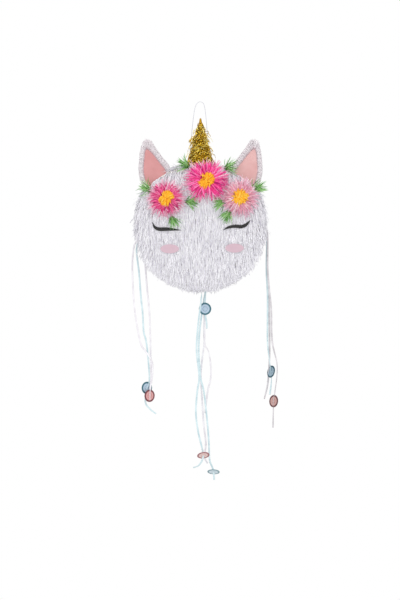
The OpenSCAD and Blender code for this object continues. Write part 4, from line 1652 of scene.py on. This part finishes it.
TAGS = (
    Tag("pull_tag", "pull_ribbon", TagCard.PALE_PINK, "pull_ribbon", (8, -16, -644), (55, 0, -8)),
    Tag("tag_centre_top", "centre_ribbons", TagCard.BLUE, "ribbon_centre_4", (13, -1, -231), (0, 0, 0)),
    Tag("tag_centre_low", "centre_ribbons", TagCard.PALE_BLUE, "ribbon_centre_1", (37, 12, -694), (62, 0, 3)),
    Tag("tag_left_blue", "left_ribbons", TagCard.BLUE, "ribbon_left_2", (-152, 3, -455), (0, 36, 0)),
    Tag("tag_left_pink", "left_ribbons", TagCard.PINK, "ribbon_left_1", (-144, -4, -477), (0, 38, 0)),
    # The right-hand tags take the darker cards, as painted shade for their sideways faces.
    Tag("tag_right_blue", "right_ribbons", TagCard.BLUE_IN_PAINTED_SHADE, "ribbon_right_2", (200, 3, -409), (0, -58, 15)),
    Tag("tag_right_pink", "right_ribbons", TagCard.DEEP_PINK, "ribbon_right_1", (207, -6, -492), (0, -50, 9)),
)


@dataclass
class Ribbons:
    """All ribbons with their tags, and the thread that the pinata hangs from."""

    drum: Drum
    paint: Paint
    width: float = 5 * MM
    thick: float = 0.4 * MM
    cup: float = 0.35 * MM
    step_mm: float = 3.0
    tag_radius: float = 17.5 * MM
    tag_thick: float = 1.6 * MM
    thread: float = 1.5 * MM
    lay_length: float = 5 * MM

    def tag_piece(self, tag: Tag) -> bpy.types.Object:
        """Models one tag: a disc with a raised rim and a bead round a sunk face, alike on both sides.

        Args:
            tag: which tag.
        Returns:
            The piece, in place.
        """
        deselect()
        bpy.ops.mesh.primitive_cylinder_add(
            vertices=72, radius=self.tag_radius, depth=self.tag_thick, location=(0, 0, 0))
        disc = bpy.context.object
        disc.name = disc.data.name = tag.node + "_disc"
        bpy.ops.object.mode_set(mode="EDIT")
        for sign in (1, -1):
            select_faces(disc, lambda f: f.normal.z * sign > 0.9)
            # Inwards from the edge: the rim, the step down, the face, and the bead's two slopes.
            for inset, push in ((1.1, 0.0), (0.5, -0.22), (8.5, 0.0), (0.5, 0.16), (1.0, 0.0), (0.5, -0.16)):
                bpy.ops.mesh.inset(thickness=inset * MM, depth=0)
                if push:
                    bpy.ops.transform.translate(value=(0, 0, sign * push * MM))
        bpy.ops.object.mode_set(mode="OBJECT")
        deselect()
        disc.select_set(True)
        bpy.context.view_layer.objects.active = disc
        bevel = disc.modifiers.new("edge", "BEVEL")
        bevel.width = 0.3 * MM
        bevel.segments = 2
        bpy.ops.object.modifier_apply(modifier=bevel.name)
        co = np.array([v.co for v in disc.data.vertices])
        set_values(disc, "reach", np.hypot(co[:, 0], co[:, 1]) / self.tag_radius)
        set_values(disc, "turn", np.arctan2(co[:, 1], co[:, 0]))
        about_x, about_z, about_y = (math.radians(a) for a in tag.tilt)
        stand = Matrix.Rotation(math.pi / 2 + about_x, 4, "X")
        turned = Matrix.Rotation(about_y, 4, "Y") @ Matrix.Rotation(about_z, 4, "Z") @ stand
        disc.data.transform(Matrix.Translation(Vector(tag.place) * MM + self.drum.centre) @ turned)
        disc.data.update()
        return disc

    def ribbon_piece(self, item: Hanging) -> tuple[bpy.types.Object, Array]:
        """Sweeps one ribbon: thin, slightly cupped, with its corners rounded.

        Args:
            item: which ribbon.
        Returns:
            The piece and the path that it follows.
        """
        line = smooth_route(item.route, self.step_mm)
        path = line[:, :3] * MM + np.array(self.drum.centre)
        ahead = unit(np.gradient(path, axis=0))
        flat = unit(np.cross(ahead, np.array([0, 1.0, 0])))
        over = np.cross(flat, ahead)
        turn = np.radians(line[:, 3])[:, None]
        side = flat * np.cos(turn) + over * np.sin(turn)
        w, h = self.width / 2, self.thick / 2
        xs = np.array([1.0, 0.55, 0.0, -0.55, -1.0, -1.0, -0.55, 0.0, 0.55, 1.0])
        up = np.array([0.6, 1, 1, 1, 0.6, -0.6, -1, -1, -1, -0.6])
        cup = self.cup * (1 - xs**2)
        shape = np.stack([xs * w, up * h + cup], 1)
        section = np.repeat(shape[None], len(path), 0)
        return sweep(item.node + "_strip", path, side, section), path

    def build(self) -> None:
        """Makes the ribbons with their tags, then the thread."""
        tags = {t.ribbon: t for t in TAGS}
        for item in RIBBONS:
            piece, path = self.ribbon_piece(item)
            slot, finish = item.tint.value
            moved_with(piece, item.body, getattr(self.paint, finish), [item.node])
            if item.node in tags:
                tag = tags[item.node]
                disc = self.tag_piece(tag)
                moved_with(disc, tag.body, self.paint.tags[tag.card], [tag.node])
        self.build_thread()

    def build_thread(self) -> None:
        """Sweeps two plies of thread, twisted together, up through the loop and back."""
        route = [(x, 0.0, z) for x, z in (
            (-34, 156), (-34, 164), (-33, 176), (-30, 210), (-26, 255), (-22, 295), (-18, 325), (-14, 343),
            (-8, 352.5), (0, 355.25), (7, 352), (11, 343), (14, 325), (17, 295), (20, 255), (23, 210),
            (25, 176), (26, 164), (26, 156))]
        line = smooth_route(route, 0.9)
        path = line * MM + np.array(self.drum.centre)
        run = np.concatenate([[0], np.cumsum(np.linalg.norm(np.diff(path, axis=0), axis=1))])
        angle = np.arange(10) * math.tau / 10
        twist = math.tau * run[:, None] / self.lay_length
        lobes = 0.5 * self.thread * (0.86 + 0.14 * np.cos(2 * (angle[None] - twist)))
        section = np.stack([lobes * np.cos(angle), lobes * np.sin(angle)], -1)
        side = np.tile([0, 1.0, 0], (len(path), 1))
        thread = sweep("hanging_thread_twist", path, side, section)
        moved_with(thread, "shell", self.paint.thread, ["hanging_thread"])


# ---------------------------------------------------------------------------------------------
# Card pieces of the frame, stage, lights and camera
# ---------------------------------------------------------------------------------------------


def dress_frame(frame: dict[str, Any], paint: Paint) -> None:
    """Gives the frame's own nodes their finishes.

    Args:
        paint: the finishes.
    """
    by_slot = {
        "card": paint.card, "tape": paint.tape, "thread": paint.thread, "pink_card": paint.ear_pink,
        "blush_paper": paint.cheek, "black_vinyl": paint.lash,
    }
    slots = {part["node"]: part["material_slot"] for part in frame["record"]["subparts"]}
    by_node = {"horn_cone": paint.gold_card, "ear_inner_right": paint.ear_pale}
    for name, obj in frame["nodes"].items():
        finish = by_node.get(name) or by_slot.get(slots.get(name, ""))
        if finish is None:
            continue
        obj.data.materials.clear()
        obj.data.materials.append(finish)


@dataclass
class Studio:
    """White surround, soft lights and the camera, whose lens and sensor are in millimetres."""

    drum: Drum
    view_height: float = 1.68
    lens: float = 85.0
    sensor: float = 36.0
    camera_left: float = 1.4 * MM
    camera_below: float = 206 * MM

    def build_camera(self) -> None:
        """Sets the camera level in front of the pinata."""
        distance = self.view_height * self.lens / self.sensor
        centre = self.drum.centre
        deselect()
        place = (centre.x - self.camera_left, self.drum.front - distance, centre.z - self.camera_below)
        bpy.ops.object.camera_add(location=place, rotation=Euler((math.pi / 2, 0, 0)))
        camera = bpy.context.object
        camera.name = "view_from_front"
        camera.data.lens = self.lens
        bpy.context.scene.camera = camera

    def build_lights(self) -> None:
        """Sets two large soft boxes in front, a smaller one above and an even white surround."""
        world = bpy.data.worlds.new("white_surround")
        world.use_nodes = True
        world.node_tree.nodes["Background"].inputs[0].default_value = (1, 1, 1, 1)
        world.node_tree.nodes["Background"].inputs[1].default_value = 1.0
        bpy.context.scene.world = world
        aim = Vector((0, 0, self.drum.centre.z - 0.15))
        # Each box: its name, its place and size in metres, and its power in watts.
        for name, place, size, power in (
            ("soft_box_left", (-1.9, -2.4, 0.9), 1.6, 22),
            ("soft_box_right", (2.1, -2.6, 0.3), 1.6, 15),
            ("soft_box_top", (0.1, -0.2, 1.7), 1.4, 10),
        ):
            deselect()
            bpy.ops.object.light_add(type="AREA", location=place)
            light = bpy.context.object
            light.name = name
            light.data.size = size
            light.data.energy = power
            light.rotation_euler = (aim - Vector(place)).to_track_quat("-Z", "Y").to_euler()

    def build(self) -> None:
        """Sets the camera, the lights and a plain view transform."""
        self.build_camera()
        self.build_lights()
        bpy.context.scene.view_settings.view_transform = "Standard"


def main() -> None:
    """Builds the pinata around its frame."""
    logging.basicConfig(level=logging.INFO, format="%(message)s")
    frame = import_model()
    drum = Drum.from_frame()
    studio = Studio(drum)
    studio.build()
    paint = Paint.mixed()
    dress_frame(frame, paint)
    Ribbons(drum, paint).build()
    horn = Horn(paint)
    horn.build()
    flowers = [
        Flower("left", Bloom.DEEP, paint, 51),
        Flower("centre", Bloom.MAGENTA, paint, 52, outer_reach=62 * MM, inner_reach=54 * MM,
               notch=-math.pi / 2, stretch=1.2, mop_reach=21 * MM, mop_tones=(0.15, 0.95)),
        Flower("right", Bloom.PALE, paint, 53, comb_spread=1.4, mop_reach=20 * MM, mop_tones=(0.4, 1.0)),
    ]
    for flower in flowers:
        flower.build()
    Leaves(paint).build()
    for side in ("left", "right"):
        Ear(side, paint).build()
    fringe = Fringe(drum, paint)
    fringe.build_front([f.base for f in flowers])
    fringe.build_back()
    fringe.build_rim(horn, THREAD_HOLES)
    fringe.build_edges()


if __name__ == "__main__":
    main()
